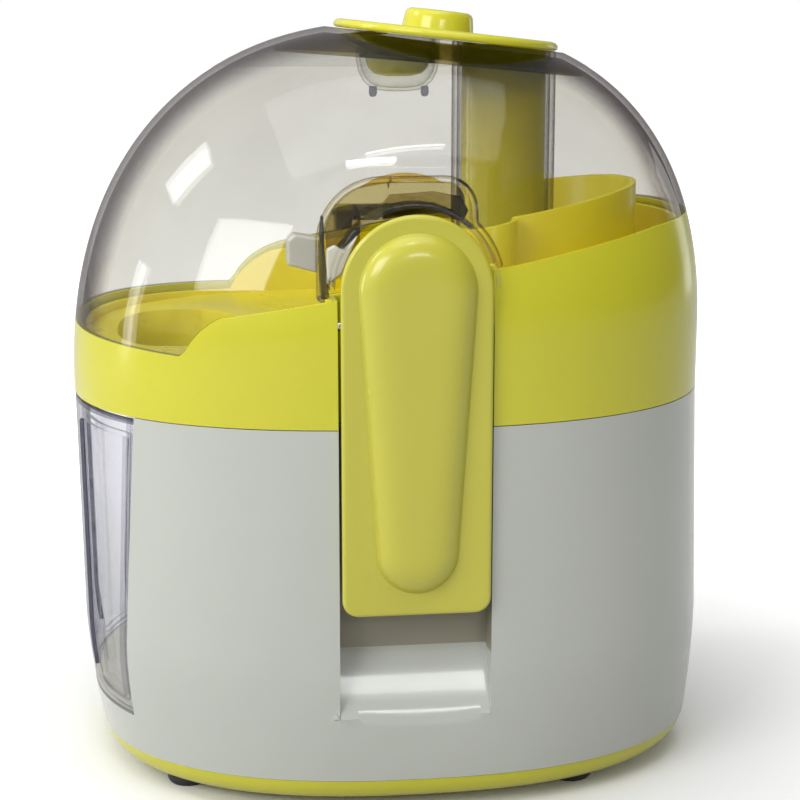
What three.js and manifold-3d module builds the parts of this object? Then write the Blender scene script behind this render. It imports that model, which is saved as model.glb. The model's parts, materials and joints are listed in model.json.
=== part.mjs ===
// Centrifugal juicer with a clear dome lid hinged at the back, a rocking front latch, a pull-out
// pulp container and an upright motor. Millimetres, +Z up. The origin is on the surface that the feet stand on, below the
// middle of the oval body; -X is the container end, +X the spout end, -Y the front latch.
import * as THREE from "three";
import { mergeVertices } from "three/addons/utils/BufferGeometryUtils.js";
import Module from "manifold-3d";

const wasm = await Module();
wasm.setup();

// ---------- driving dimensions ----------
const GAP = 0.3; // between pieces that touch
const SMALLEST_FEATURE = 0.06; // anything finer is smoothed away
const SEAM = 152; // joint between the white housing and the yellow collar
const OVAL_POWER = 2.38; // exponent of the superelliptic plan
const AROUND = 40; // points round the oval

const DOME_X = 2; // the dome's highest point
const DOME_TOP = 296.3;
// Each side's reach from DOME_X at the seam, how much it grows per millimetre upwards below the
// seam, where it starts to curve over, the exponent of that curve, and how far it tucks in at the
// very bottom.
const LEFT = { reach: 128.9, grow: 0.0136, from: 154.3, power: 2.24, tuck: 7.9 };
const RIGHT = { reach: 125.8, grow: -0.029, from: 173.5, power: 2.54, tuck: 6.2 };
const DEPTH = { reach: 103, grow: 0, from: 182, power: 2, tuck: 6.4 };
const TUCK_FROM = 60;

const BASE_SEAM = 14; // joint between housing and base pan

const RIM_AT_CENTRE = 203.4; // height of the collar's rim at X = 0
const RIM_SLOPE = 0.172;
const RIM_EASE_FROM = 100; // the slope eases off beyond here
const RIM_SKEW = 0.06; // the slope runs slightly across the body
const STEP = { from: -72.4, to: -43.4, low: 178, skew: 0.139, tilt: 0.008 };

const HOUSING_WALL = 3;
const LID_WALL = 2.5;
const PAN_WALL = 2.2;

const AXIS_X = 47; // motor, basket and bowl axis
const BOWL_R = 57;
const BOWL_WALL = 2.5;
const BOWL_FLOOR = 154;
const TRAY_FLOOR = 172;
const GUARD_RISE = 12; // the pulp guard stands this far over the rim line

const CHANNEL_HALF = 28.5; // latch channel
const CHANNEL_BACK = 88;
const CHANNEL_WALL = 3;
const NICHE_HALF = 32.8;
const NICHE_TOP = 243;

const LATCH_HALF = 27.7;
const LATCH_TOP = 230.5;
const LATCH_BOTTOM = 82;
const LATCH_FACE = 105.5;
const LATCH_PLATE = 3.5;
const LATCH_PIN_Y = -98; // the latch rocks on this pin
const LATCH_PIN_Z = 190;
const PIN_R = 1.6;
const PIN_BORE = 2.0;

const HINGE_X = 14; // lid hinge
const HINGE_Y = 107.6;
const HINGE_Z = 208;
const KNUCKLE_R = 3.9;
const KNUCKLE_HALF = 15.5;

const BAY_HALF = 70; // container bay, half its width at the seam
const BAY_HALF_LOW = 59.5; // and at its floor
const BAY_BACK = -25.5;
const BAY_FLOOR = 30;
const CONTAINER_WALL = 2.4;

const TUBE_X = 51.3; // feed tube
const TUBE_Y = 10;
const TUBE_R = 21.5;
const TUBE_WALL = 2.2;
const TUBE_BOTTOM = 176;
const STEM_R = 17.3;
const STEM_BOTTOM = 187;
const SEAT_X = 25.3; // pusher seat on top of the dome
const SEAT_Z = 289.2;
const SEAT_TILT = 0.11; // radians
const FLANGE_R = 45.5;

const SPOUT_X = 114.5;
const ALCOVE_X = 141; // glass alcove
const ALCOVE_R = 34;

const KNOB_X = 75;
const KNOB_Z = 95;

const BOSS_LEFT = [-66, 42]; // screw bosses, one at the front and one at the rear of each end
const BOSS_RIGHT = [101, 36];
const FOOT_LEFT = [-85, 54];
const FOOT_RIGHT = [67, 69];
const KEY_X = 6; // the pusher's key
const PLUNGER_Z = 116; // the interlock's plunger
const GRIP_HALF = 27.5; // the container's middle band, which fingers and thumb squeeze

// ---------- materials ----------
const paint = (color, roughness, metalness = 0, opacity = 1) =>
  new THREE.MeshStandardMaterial({ color, roughness, metalness, opacity, transparent: opacity < 1 });
const YELLOW = paint(0xd9d452, 0.25);
const WHITE = paint(0xdcddd6, 0.22);
const CLEAR = paint(0xd9d8de, 0.05, 0, 0.3);
const SMOKE = paint(0xc9c8d6, 0.06, 0, 0.35);
const STEEL = paint(0xb9bcbf, 0.3, 1);
const IRON = paint(0x6f7277, 0.5, 0.8);
const COPPER = paint(0xb5673a, 0.4, 0.9);
const BRASS = paint(0xb99a4e, 0.35, 0.9);
const CARBON = paint(0x2b2b2c, 0.7);
const RUBBER = paint(0x1b1b1c, 0.8);
const BLACK = paint(0x26272a, 0.5);

// ---------- solids ----------
function solidOf(geometry) {
  const bare = geometry.index ? geometry.toNonIndexed() : geometry.clone();
  bare.deleteAttribute("normal");
  bare.deleteAttribute("uv");
  const merged = mergeVertices(bare, 1e-3);
  return new wasm.Manifold(
    new wasm.Mesh({
      numProp: 3,
      vertProperties: new Float32Array(merged.attributes.position.array),
      triVerts: new Uint32Array(merged.index.array),
    }),
  );
}

function geometryOf(solid) {
  const mesh = solid.getMesh();
  const points = new Float32Array(mesh.numVert * 3);
  for (let i = 0; i < mesh.numVert; i++) {
    const from = i * mesh.numProp;
    points.set(mesh.vertProperties.subarray(from, from + 3), i * 3);
  }
  const geometry = new THREE.BufferGeometry();
  geometry.setAttribute("position", new THREE.BufferAttribute(points, 3));
  geometry.setIndex(new THREE.BufferAttribute(mesh.triVerts, 1));
  return geometry;
}

const join = (...solids) => solids.reduce((a, b) => a.add(b));
const cut = (from, ...solids) => solids.reduce((a, b) => a.subtract(b), from);

// A box by its corners.
function block(x0, x1, y0, y1, z0, z1) {
  const geometry = new THREE.BoxGeometry(x1 - x0, y1 - y0, z1 - z0);
  geometry.translate((x0 + x1) / 2, (y0 + y1) / 2, (z0 + z1) / 2);
  return solidOf(geometry);
}

// An upright cylinder, or a cone when topRadius differs.
function rod(x, y, z0, z1, radius, sides = 24, topRadius = radius) {
  const geometry = new THREE.CylinderGeometry(topRadius, radius, z1 - z0, sides);
  geometry.rotateX(Math.PI / 2);
  geometry.translate(x, y, (z0 + z1) / 2);
  return solidOf(geometry);
}

// A cylinder along X.
function rodX(x0, x1, y, z, radius, sides = 12) {
  const geometry = new THREE.CylinderGeometry(radius, radius, x1 - x0, sides);
  geometry.rotateZ(Math.PI / 2);
  geometry.translate((x0 + x1) / 2, y, z);
  return solidOf(geometry);
}

const tube = (x, y, z0, z1, outer, inner, sides = 28) =>
  cut(rod(x, y, z0, z1, outer, sides), rod(x, y, z0 - 1, z1 + 1, inner, sides));

// A shape drawn in X and Z, from y0 back to y1.
function slab(shape, y0, y1, curveSegments = 10) {
  const geometry = new THREE.ExtrudeGeometry(shape, {
    depth: y1 - y0,
    bevelEnabled: false,
    curveSegments,
  });
  geometry.rotateX(Math.PI / 2);
  geometry.translate(0, y1, 0);
  return solidOf(geometry);
}

// A polygon drawn in Y and Z, from x0 to x1.
function bar(points, x0, x1) {
  const shape = new THREE.Shape(points.map(([y, z]) => new THREE.Vector2(y, z)));
  const geometry = new THREE.ExtrudeGeometry(shape, { depth: x1 - x0, bevelEnabled: false });
  geometry.applyMatrix4(new THREE.Matrix4().set(0, 0, 1, x0, 1, 0, 0, 0, 0, 1, 0, 0, 0, 0, 0, 1));
  return solidOf(geometry);
}

// ---------- the outer envelope ----------
// How far one side reaches at height z, drawn in by inset.
function reachOf(side, z, inset) {
  const top = DOME_TOP - inset;
  const wall = side.reach + side.grow * Math.min(0, z - SEAM) - inset;
  const rise = THREE.MathUtils.clamp((z - side.from) / (top - side.from), 0, 1);
  const tuck = side.tuck * (Math.max(0, TUCK_FROM - z) / TUCK_FROM) ** 1.5;
  return wall * Math.max(0, 1 - rise ** side.power) ** (1 / side.power) - tuck;
}

// The oval section of the whole product at height z, drawn in by inset.
function section(z, inset = 0) {
  const left = DOME_X - reachOf(LEFT, z, inset);
  const right = DOME_X + reachOf(RIGHT, z, inset);
  const rounder = THREE.MathUtils.clamp((z - 190) / (DOME_TOP - 190), 0, 1);
  return {
    x: (left + right) / 2,
    a: (right - left) / 2,
    b: reachOf(DEPTH, z, inset),
    power: THREE.MathUtils.lerp(OVAL_POWER, 2, rounder),
  };
}

function ovalRing({ x, a, b, power }, z, count = AROUND) {
  const ring = [];
  for (let i = 0; i < count; i++) {
    const t = (2 * Math.PI * i) / count;
    const c = Math.cos(t);
    const s = Math.sin(t);
    ring.push([
      x + a * Math.sign(c) * Math.abs(c) ** (2 / power),
      b * Math.sign(s) * Math.abs(s) ** (2 / power),
      z,
    ]);
  }
  return ring;
}

// A closed solid through rings of equal point counts, listed upwards.
function loft(rings) {
  const count = rings[0].length;
  const points = rings.flat(2);
  const index = [];
  for (let r = 0; r + 1 < rings.length; r++) {
    for (let i = 0; i < count; i++) {
      const a = r * count + i;
      const b = r * count + ((i + 1) % count);
      index.push(a, b, b + count, a, b + count, a + count);
    }
  }
  const topRow = (rings.length - 1) * count;
  for (let i = 1; i + 1 < count; i++) {
    index.push(0, i + 1, i);
    index.push(topRow, topRow + i, topRow + i + 1);
  }
  const geometry = new THREE.BufferGeometry();
  geometry.setAttribute("position", new THREE.Float32BufferAttribute(points, 3));
  geometry.setIndex(index);
  return solidOf(geometry);
}

const envelope = (heights, inset = 0) => loft(heights.map((z) => ovalRing(section(z, inset), z)));

// Heights from z0 up over the dome, closer together where it curves in.
function domeHeights(z0, inset = 0) {
  const top = DOME_TOP - inset;
  const heights = [z0];
  const steps = 9;
  for (let i = 0; i <= steps; i++) {
    const z = DEPTH.from + (top - DEPTH.from) * Math.sin((i / steps) * 0.485 * Math.PI);
    if (z > z0 + 2) heights.push(z);
  }
  return heights;
}

// An XZ shape drawn through the whole depth, then skewed by a matrix.
function throughDepth(shape, skew) {
  const geometry = new THREE.ExtrudeGeometry(shape, { depth: 300, bevelEnabled: false, curveSegments: 6 });
  geometry.rotateX(Math.PI / 2);
  geometry.translate(0, 150, 0);
  geometry.applyMatrix4(skew);
  return solidOf(geometry);
}

// Everything above the sloping rim with its step at the container end, raised by lift.
function aboveRim(lift = 0) {
  const far = 200;
  const z = (x) => RIM_AT_CENTRE + RIM_SLOPE * x + lift;
  const slope = new THREE.Shape();
  slope.moveTo(-far, z(-far));
  slope.lineTo(RIM_EASE_FROM, z(RIM_EASE_FROM));
  slope.lineTo(far, z(RIM_EASE_FROM) + 8);
  slope.lineTo(far, 400);
  slope.lineTo(-far, 400);
  const low = STEP.low + lift;
  const step = new THREE.Shape();
  step.moveTo(-far, low + 7);
  step.lineTo(-130, low + 3);
  step.lineTo(STEP.from, low);
  step.quadraticCurveTo(STEP.from + 7, low + 15.5, STEP.to, z(STEP.to) + 1.5);
  step.lineTo(STEP.to, 400);
  step.lineTo(-far, 400);
  return join(
    throughDepth(slope, new THREE.Matrix4().makeShear(0, 0, RIM_SKEW, 0, 0, 0)),
    throughDepth(step, new THREE.Matrix4().makeShear(0, 0, STEP.skew, STEP.tilt, 0, 0)),
  );
}

// Everything above the tilted pusher seat, raised by lift.
function aboveSeat(lift = 0) {
  const geometry = new THREE.BoxGeometry(400, 400, 100);
  geometry.translate(0, 0, 50 + lift);
  geometry.rotateY(SEAT_TILT);
  geometry.translate(SEAT_X, 0, SEAT_Z);
  return solidOf(geometry);
}

// ---------- latch channels ----------
const SCOOP = [
  [-120, 33],
  [-103.5, 37],
  [-98, 46],
  [-92, 59.5],
  [-88, 64.3],
  [-CHANNEL_BACK, 64.5],
];
const channelCut = (top) => {
  const outline = [...SCOOP, [-CHANNEL_BACK, top], [-120, top]];
  return bar(outline, -CHANNEL_HALF, CHANNEL_HALF);
};
const channelZone = (half, back, z0, z1) => block(-half, half, -120, -back, z0, z1);

// The container bay: its sides draw in towards the floor. Grown by grow on both sides.
function bayPrism(grow, z0, x1) {
  const half = (z) => {
    const share = (z - BAY_FLOOR) / (SEAM - BAY_FLOOR);
    return THREE.MathUtils.lerp(BAY_HALF_LOW, BAY_HALF, share) + grow;
  };
  const z1 = SEAM + 20;
  return bar([[-half(z0), z0], [half(z0), z0], [half(z1), z1], [-half(z1), z1]], -145, x1);
}

// ---------- housing and base ----------
function makeHousing() {
  const outer = envelope([BASE_SEAM + GAP, 20, 32, 60, SEAM]);
  const channelWalls = channelZone(CHANNEL_HALF + CHANNEL_WALL, CHANNEL_BACK - CHANNEL_WALL, 30, 200);
  const bayWalls = bayPrism(3, BAY_FLOOR - 3, BAY_BACK + 2.5);
  const alcoveWall = rod(ALCOVE_X, 0, 0, 200, ALCOVE_R + 3, 32);
  const bosses = join(
    ...[1, -1].flatMap((side) => [
      rod(BOSS_LEFT[0], side * BOSS_LEFT[1], BASE_SEAM + 2, 60, 4.5, 10),
      rod(BOSS_RIGHT[0], side * BOSS_RIGHT[1], BASE_SEAM + 2, 200, 4.5, 12),
    ]),
  );
  const inside = cut(
    envelope([0, BASE_SEAM + GAP, 20, 32, 60, SEAM - 4], HOUSING_WALL),
    channelWalls,
    bayWalls,
    alcoveWall,
    bosses,
  );
  const bay = bayPrism(0, BAY_FLOOR, BAY_BACK);
  const pilots = join(
    ...[1, -1].flatMap((side) => [
      rod(BOSS_LEFT[0], side * BOSS_LEFT[1], 0, 25, 1.9, 8),
      rod(BOSS_RIGHT[0], side * BOSS_RIGHT[1], 0, 25, 1.9, 8),
    ]),
  );
  return cut(
    outer,
    inside,
    bay,
    channelCut(200),
    rod(ALCOVE_X, 0, 0, 200, ALCOVE_R, 32),
    rod(AXIS_X, 0, 100, 200, 9.6, 24),
    pilots,
    facing(knobPlace, rod(0, 0, -8, 8, 4.2, 16)),
    facing(glandPlace, rod(0, 0, -20, 20, 6.6, 16)),
    rodAlongY(0, -95, -80, PLUNGER_Z, 3.1),
  );
}

function makeBasePan() {
  const rim = section(BASE_SEAM);
  const ring = (inset, z) => ovalRing({ ...rim, a: rim.a - inset, b: rim.b - inset }, z);
  const outer = cut(
    loft([ring(11, 4), ring(4.5, 6), ring(1.6, 9), ring(0.4, BASE_SEAM)]),
    rod(ALCOVE_X, 0, 0, 20, ALCOVE_R, 32),
  );
  const inner = cut(
    loft([ring(13, 6.4), ring(5, 9), ring(3, BASE_SEAM + 2)]),
    rod(ALCOVE_X, 0, 0, 20, ALCOVE_R + PAN_WALL, 32),
  );
  const vents = [-15, -5, 5, 15].map((y) => block(AXIS_X - 24, AXIS_X + 24, y - 2, y + 2, 0, 12));
  const holes = [1, -1].flatMap((side) => [
    rod(BOSS_LEFT[0], side * BOSS_LEFT[1], 0, 12, 2.4, 8),
    rod(BOSS_RIGHT[0], side * BOSS_RIGHT[1], 0, 12, 2.4, 8),
  ]);
  return cut(outer, inner, ...vents, ...holes);
}

function makeFoot(x, y) {
  return join(rod(x, y, 0, 1.2, 7.5, 16, 8.5), rod(x, y, 1.2, 4 - GAP, 8.5, 16));
}

// A self-tapping screw that holds the base pan to a boss.
function makeBaseScrew(x, y) {
  return join(rod(x, y, 1.6, 4 - GAP, 3.8, 10), rod(x, y, 3, 22, 1.5, 8));
}

// ---------- things set square to the side wall ----------
// The outward direction of the side wall at a place on it.
function wallPlace(x, z, side) {
  const { x: centre, a, b, power } = section(z);
  const across = (x - centre) / a;
  const y = b * (1 - Math.abs(across) ** power) ** (1 / power);
  const nx = (Math.sign(across) * Math.abs(across) ** (power - 1)) / a;
  const ny = (y / b) ** (power - 1) / b;
  return { x, y: side * y, z, angle: Math.atan2(side * ny, nx) };
}

// Moves a solid made round the Z axis so that +Z points out of the wall.
function facing(place, solid) {
  const geometry = geometryOf(solid);
  geometry.rotateY(Math.PI / 2);
  geometry.rotateZ(place.angle);
  geometry.translate(place.x, place.y, place.z);
  return solidOf(geometry);
}

const knobPlace = wallPlace(KNOB_X, KNOB_Z, 1);
const glandPlace = wallPlace(62, 36, 1);

function rodAlongY(x, y0, y1, z, radius, sides = 16) {
  const geometry = new THREE.CylinderGeometry(radius, radius, y1 - y0, sides);
  geometry.translate(x, (y0 + y1) / 2, z);
  return solidOf(geometry);
}

// ---------- collar ----------
function makeCollar() {
  const heights = [SEAM + GAP, 170, 190, 208, 224, 240];
  const walls = channelZone(CHANNEL_HALF + CHANNEL_WALL, CHANNEL_BACK - CHANNEL_WALL, 100, 300);
  const inside = cut(envelope([140, ...heights.slice(1), 250], HOUSING_WALL), walls);
  const ledge = cut(
    envelope([TRAY_FLOOR - GAP - 3, TRAY_FLOOR - GAP], 2),
    envelope([150, 190], HOUSING_WALL + 3),
    block(SPOUT_X - 10, 130, -9, 9, 100, 200),
  );
  const body = cut(
    join(cut(envelope(heights), inside), cut(ledge, channelZone(30, 84, 100, 300))),
    aboveRim(),
    channelCut(300),
    rodX(-CHANNEL_HALF - 2.2, CHANNEL_HALF + 2.2, LATCH_PIN_Y, LATCH_PIN_Z, PIN_BORE),
  );
  return cut(join(body, ...makeHingeEars()), rodX(HINGE_X - 26, HINGE_X + 26, HINGE_Y, HINGE_Z, PIN_BORE));
}

// Two ears behind the rim that carry the lid's hinge pin.
function makeHingeEars() {
  const profile = (root) => [
    [root, 186], [104, 186], [111.5, 198], [111.5, 210], [109.6, 211.9], [105.4, 211.9],
    [102.9, 209.4], [102.9, 196.5], [root, 196],
  ];
  return [
    bar(profile(100.6), HINGE_X - KNUCKLE_HALF - 8.5, HINGE_X - KNUCKLE_HALF - 0.5),
    bar(profile(98.6), HINGE_X + KNUCKLE_HALF + 0.5, HINGE_X + KNUCKLE_HALF + 8.5),
  ];
}

// ---------- collector: pulp tray, bowl, guard and spout in one moulding ----------
function makeCollector() {
  const zone = (half, back) => channelZone(half, back, 100, 300);
  const edge = HOUSING_WALL + 0.7;
  const around = cut(envelope([TRAY_FLOOR, 197, 220, 240], edge), zone(32, 82.5));
  const within = cut(
    envelope([TRAY_FLOOR + PAN_WALL, 197, 220, 250], edge + PAN_WALL),
    zone(32 + PAN_WALL, 82.5 - PAN_WALL),
  );
  const tray = cut(around, within, aboveRim(-3));
  const guardTop = aboveRim(GUARD_RISE);
  const bowlOuter = rod(AXIS_X, 0, BOWL_FLOOR, 240, BOWL_R, 40);
  const openSide = block(-60, AXIS_X - 3.5, -70, 70, TRAY_FLOOR + 6, 300);
  const bowl = cut(bowlOuter, guardTop, openSide);
  const curl = cut(
    rod(33, -60, TRAY_FLOOR + 1, 230, 11.5, 16),
    rod(33, -60, TRAY_FLOOR, 300, 9.3, 16),
    block(0, 80, -59, 0, 100, 300),
    guardTop,
  );
  const bowlInside = rod(AXIS_X, 0, BOWL_FLOOR + 2.6, 300, BOWL_R - BOWL_WALL, 40);
  const chuteOuter = chute(3, SEAM + 2, TRAY_FLOOR + 1);
  const chuteInner = chute(0, 140, 200);
  const upstand = tube(AXIS_X, 0, BOWL_FLOOR, BOWL_FLOOR + 10, 12.6, 10.8, 24);
  const spoutOuter = join(
    rod(SPOUT_X, 0, 136, 166, 6.5, 20),
    block(AXIS_X + BOWL_R - 3, SPOUT_X, -6.5, 6.5, BOWL_FLOOR, 166),
  );
  const spoutInner = join(
    rod(SPOUT_X, 0, 130, 200, 4.6, 20),
    block(AXIS_X + BOWL_R - 6, SPOUT_X, -4.6, 4.6, BOWL_FLOOR + 2.6, 169),
  );
  const body = join(cut(join(tray, bowl, chuteOuter), bowlInside), curl, spoutOuter);
  return join(
    cut(body, chuteInner, spoutInner, rod(AXIS_X, 0, 100, BOWL_FLOOR + 9, 10.8, 24)),
    upstand,
  );
}

// The oval pulp chute, grown by grow.
function chute(grow, z0, z1) {
  const ring = (z) => ovalRing({ x: -84, a: 25 + grow, b: 44 + grow, power: 2.6 }, z, 24);
  return loft([ring(z0), ring(z1)]);
}

// ---------- lid ----------
function nicheSolid(half, top, back) {
  const corner = 22;
  const shape = new THREE.Shape();
  shape.moveTo(-half, 100);
  shape.lineTo(half, 100);
  shape.lineTo(half, top - corner);
  shape.absarc(half - corner, top - corner, corner, 0, Math.PI / 2, false);
  shape.absarc(-half + corner, top - corner, corner, Math.PI / 2, Math.PI, false);
  return slab(shape, -130, -back, 6);
}

// An arch of the latch head's outline, grown by grow.
function archSolid(grow, back) {
  const shape = new THREE.Shape();
  const half = LATCH_HALF + grow;
  const centre = LATCH_TOP - LATCH_HALF;
  shape.moveTo(-half, 100);
  shape.lineTo(half, 100);
  shape.lineTo(half, centre);
  shape.absarc(0, centre, half, 0, Math.PI, false);
  return slab(shape, -100, -back, 8);
}

function makeLid() {
  const outer = envelope(domeHeights(165));
  const inner = envelope(domeHeights(150, LID_WALL), LID_WALL);
  const nicheWall = nicheSolid(NICHE_HALF + 2.2, NICHE_TOP + 2.2, CHANNEL_BACK - 2.6);
  const niche = nicheSolid(NICHE_HALF, NICHE_TOP, CHANNEL_BACK);
  const shell = cut(outer, cut(inner, nicheWall, aboveSeat(-LID_WALL)), niche, aboveSeat());
  const feedTube = cut(rod(TUBE_X, TUBE_Y, TUBE_BOTTOM, 292, TUBE_R, 36), aboveSeat());
  const keyCup = cut(
    join(rod(KEY_X, 0, 275, 292, 17, 24), rod(KEY_X, 0, 269, 275, 11, 24, 17)),
    aboveSeat(),
  );
  const keyHollow = join(rod(KEY_X, 0, 277, 300, 15, 24), rod(KEY_X, 0, 271.5, 277, 9.5, 24, 15));
  const lug = block(-44, -NICHE_HALF, -CHANNEL_BACK, -80, 213, 222);
  const whole = join(
    cut(
      join(shell, feedTube, keyCup),
      rod(TUBE_X, TUBE_Y, 150, 300, TUBE_R - TUBE_WALL, 28),
      keyHollow,
    ),
    lug,
    makeNicheFrame(),
  ).intersect(join(aboveRim(GAP), rod(TUBE_X, TUBE_Y, 170, 300, TUBE_R + 0.5, 28)));
  return cut(join(whole, makeTongue(), makeKnuckle()), rodX(HINGE_X - 18, HINGE_X + 18, HINGE_Y, HINGE_Z, PIN_BORE));
}

// The raised arch that frames the latch's head.
function makeNicheFrame() {
  return cut(archSolid(3.4, CHANNEL_BACK - 1), archSolid(1.5, CHANNEL_BACK - 2));
}

// The tongue that hangs into the channel, with a lip for the latch's tooth.
function makeTongue() {
  return join(
    block(-12, 12, -91.2, -88.8, 168, 214),
    block(-12, 12, -89, -87, 210, 214),
    block(-12, 12, -92.2, -91, 168, 172),
  );
}

function makeKnuckle() {
  const x0 = HINGE_X - KNUCKLE_HALF;
  const x1 = HINGE_X + KNUCKLE_HALF;
  return join(
    rodX(x0, x1, HINGE_Y, HINGE_Z, KNUCKLE_R),
    block(x0, x1, 97.6, HINGE_Y, HINGE_Z + 2.3, HINGE_Z + KNUCKLE_R),
  );
}

// ---------- pusher ----------
function makePusherStem() {
  return cut(
    cut(rod(TUBE_X, TUBE_Y, STEM_BOTTOM, 292, STEM_R, 32), rod(TUBE_X, TUBE_Y, STEM_BOTTOM + 2.4, 300, STEM_R - 2, 32)),
    aboveSeat(-GAP / 2),
  );
}

// A round piece made on the seat plane, with z0 and z1 measured square to it.
function onSeat(x, y, z0, z1, radius, sides = 36, topRadius = radius) {
  const geometry = new THREE.CylinderGeometry(topRadius, radius, z1 - z0, sides);
  geometry.rotateX(Math.PI / 2);
  geometry.translate(x - SEAT_X, y, (z0 + z1) / 2);
  geometry.rotateY(SEAT_TILT);
  geometry.translate(SEAT_X, 0, SEAT_Z);
  return solidOf(geometry);
}

function makePusherCap() {
  const flange = join(
    onSeat(SEAT_X, 0, 0.3, 2.6, FLANGE_R, 40),
    onSeat(SEAT_X, 0, 2.6, 3.7, FLANGE_R, 40, FLANGE_R - 1.6),
  );
  const knob = onSeat(21.8, 0, 2.6, 11, 14.3, 24, 12.6);
  const spigot = rod(TUBE_X, TUBE_Y, 276, 288, STEM_R - 2.4, 28);
  const key = join(rod(KEY_X, 0, 279, 291, 13.4, 22), rod(KEY_X, 0, 275, 279, 10, 22, 13.4));
  return join(flange, knob, spigot, key);
}

// ---------- strainer basket ----------
function makeGrater() {
  const disc = tube(AXIS_X, 0, 169.4, 170.4, 32.3, 3.2);
  const teeth = [];
  for (const [radius, count] of [[12, 5], [22, 9]]) {
    for (let i = 0; i < count; i++) {
      const t = (2 * Math.PI * (i + (radius % 4) / 8)) / count;
      const x = AXIS_X + radius * Math.cos(t);
      const y = radius * Math.sin(t);
      teeth.push(rod(x, y, 170.2, 172.4, 1.1, 3, 0.15));
    }
  }
  return join(disc, ...teeth);
}

function turned(profile, sides = 28) {
  const geometry = new THREE.LatheGeometry(profile.map(([r, z]) => new THREE.Vector2(r, z)), sides);
  geometry.rotateX(Math.PI / 2);
  geometry.translate(AXIS_X, 0, 0);
  const solid = solidOf(geometry);
  return solid.volume() < 0 ? solidOf(flipped(geometry)) : solid;
}

function flipped(geometry) {
  const index = geometry.index.array;
  for (let i = 0; i < index.length; i += 3) {
    [index[i + 1], index[i + 2]] = [index[i + 2], index[i + 1]];
  }
  return geometry;
}

const closed = (profile) => [...profile, profile[0]];

function makeFilterCone() {
  return turned(closed([[34, 171], [46.2, 194], [45.2, 194], [33.1, 171.6]]), 36);
}

function makeBasketRim() {
  return turned(closed([[44.6, 194.4], [50, 194.4], [50, 201], [44.6, 201]]), 36);
}

function makeBasketHub() {
  return turned(
    closed([
      [8.2, 157], [10, 157], [10, 165], [33, 165], [36, 168], [36, 170.6], [33, 170.6],
      [33, 169], [8.2, 169],
    ]),
  );
}

// ---------- drive ----------
const makeCoupling = () => cut(rod(AXIS_X, 0, 157.6, 167, 7.6, 6), rod(AXIS_X, 0, 150, 164, 4.3, 20));
const makeShaft = () => rod(AXIS_X, 0, 36, 163.4, 4, 20);

function makeSeal() {
  return turned(closed([[4.5, 150], [4.5, 147], [9.2, 147], [9.2, 152.8], [10.4, 152.8], [10.4, 154.6], [4.5, 154.6]]), 20);
}

const makeBearing = (z) => tube(AXIS_X, 0, z, z + 7, 10, 4.25, 24);

// A motor end bracket: a plate with a cup for the bearing; up is +1 when the cup opens downwards.
function makeBracket(z0, z1, cup0, cup1, mounts) {
  const plate = block(AXIS_X - 31, AXIS_X + 31, -15, 15, z0, z1);
  const hub = rod(AXIS_X, 0, cup0, cup1, 12.4, 24);
  const ears = mounts.map(([x, y]) => rod(AXIS_X + x, y, z0, z1, 6, 16));
  const arms = mounts.map(([x, y]) =>
    block(AXIS_X + x - 4, AXIS_X + x + 4, Math.min(0, y), Math.max(0, y), z0, z1),
  );
  return join(plate, hub, ...ears, ...arms);
}

const GROMMETS = [[-26, -19], [26, -19], [-26, 19], [26, 19]];
const BOLTS = [-26, 26];
const boltHoles = () => BOLTS.map((x) => rod(AXIS_X + x, 0, 0, 200, 2.3, 12));

function makeUpperBracket() {
  const body = makeBracket(136, 139.4, 129, 139.4, GROMMETS);
  const bearingSeat = rod(AXIS_X, 0, 128, 136.6, 10.3, 24);
  return cut(body, bearingSeat, rod(AXIS_X, 0, 100, 200, 5, 20), ...boltHoles());
}

function makeLowerBracket() {
  const body = makeBracket(62, 65.4, 58, 69, []);
  const bearingSeat = rod(AXIS_X, 0, 61.6, 80, 10.3, 24);
  return cut(body, bearingSeat, rod(AXIS_X, 0, 0, 200, 5, 20), ...boltHoles());
}

function makeStator() {
  const stack = block(AXIS_X - 31, AXIS_X + 31, -27, 27, 92, 124);
  const slots = [-1, 1].flatMap((sx) =>
    [-1, 1].map((sy) => {
      const x = AXIS_X + sx * 18.5;
      const y = sy * 20.5;
      return block(x - 3.3, x + 3.3, y - 4, y + 4, 0, 200);
    }),
  );
  return cut(stack, rod(AXIS_X, 0, 0, 200, 16.2, 36), ...slots, ...boltHoles());
}

// A field coil: a loop round its pole, through the two slots and over both ends of the stack.
function makeCoil(side) {
  const y = side * 20.5;
  const outer = block(AXIS_X - 21.4, AXIS_X + 21.4, y - 3.6, y + 3.6, 85, 131);
  return cut(outer, block(AXIS_X - 15.6, AXIS_X + 15.6, y - 5, y + 5, 91.6, 124.4));
}

const SLOTS = 8;
function makeRotorCore() {
  const slots = [];
  for (let i = 0; i < SLOTS; i++) {
    slots.push(turnedBy(block(11.2, 16, -1.2, 1.2, 0, 200), i));
  }
  return cut(rod(AXIS_X, 0, 94, 122, 15.4, 32), rod(AXIS_X, 0, 0, 200, 4.3, 20), ...slots);
}

// A solid made round the Z axis, moved to the motor axis and turned by i rotor slots.
function turnedBy(solid, i) {
  const geometry = geometryOf(solid);
  geometry.rotateZ((2 * Math.PI * i) / SLOTS);
  geometry.translate(AXIS_X, 0, 0);
  return solidOf(geometry);
}

function makeRotorWinding() {
  const bars = [];
  for (let i = 0; i < SLOTS; i++) {
    bars.push(turnedBy(block(11.6, 14.6, -0.85, 0.85, 91, 125), i));
  }
  const top = turned(closed([[4.6, 122.4], [15, 122.4], [12, 128.4], [4.6, 128.4]]), 20);
  const bottom = turned(closed([[4.6, 93.6], [15, 93.6], [12, 87.4], [4.6, 87.4]]), 20);
  return join(top, bottom, ...bars);
}

const makeCommutator = () => tube(AXIS_X, 0, 71, 86, 9.6, 4.3, 24);

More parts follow.
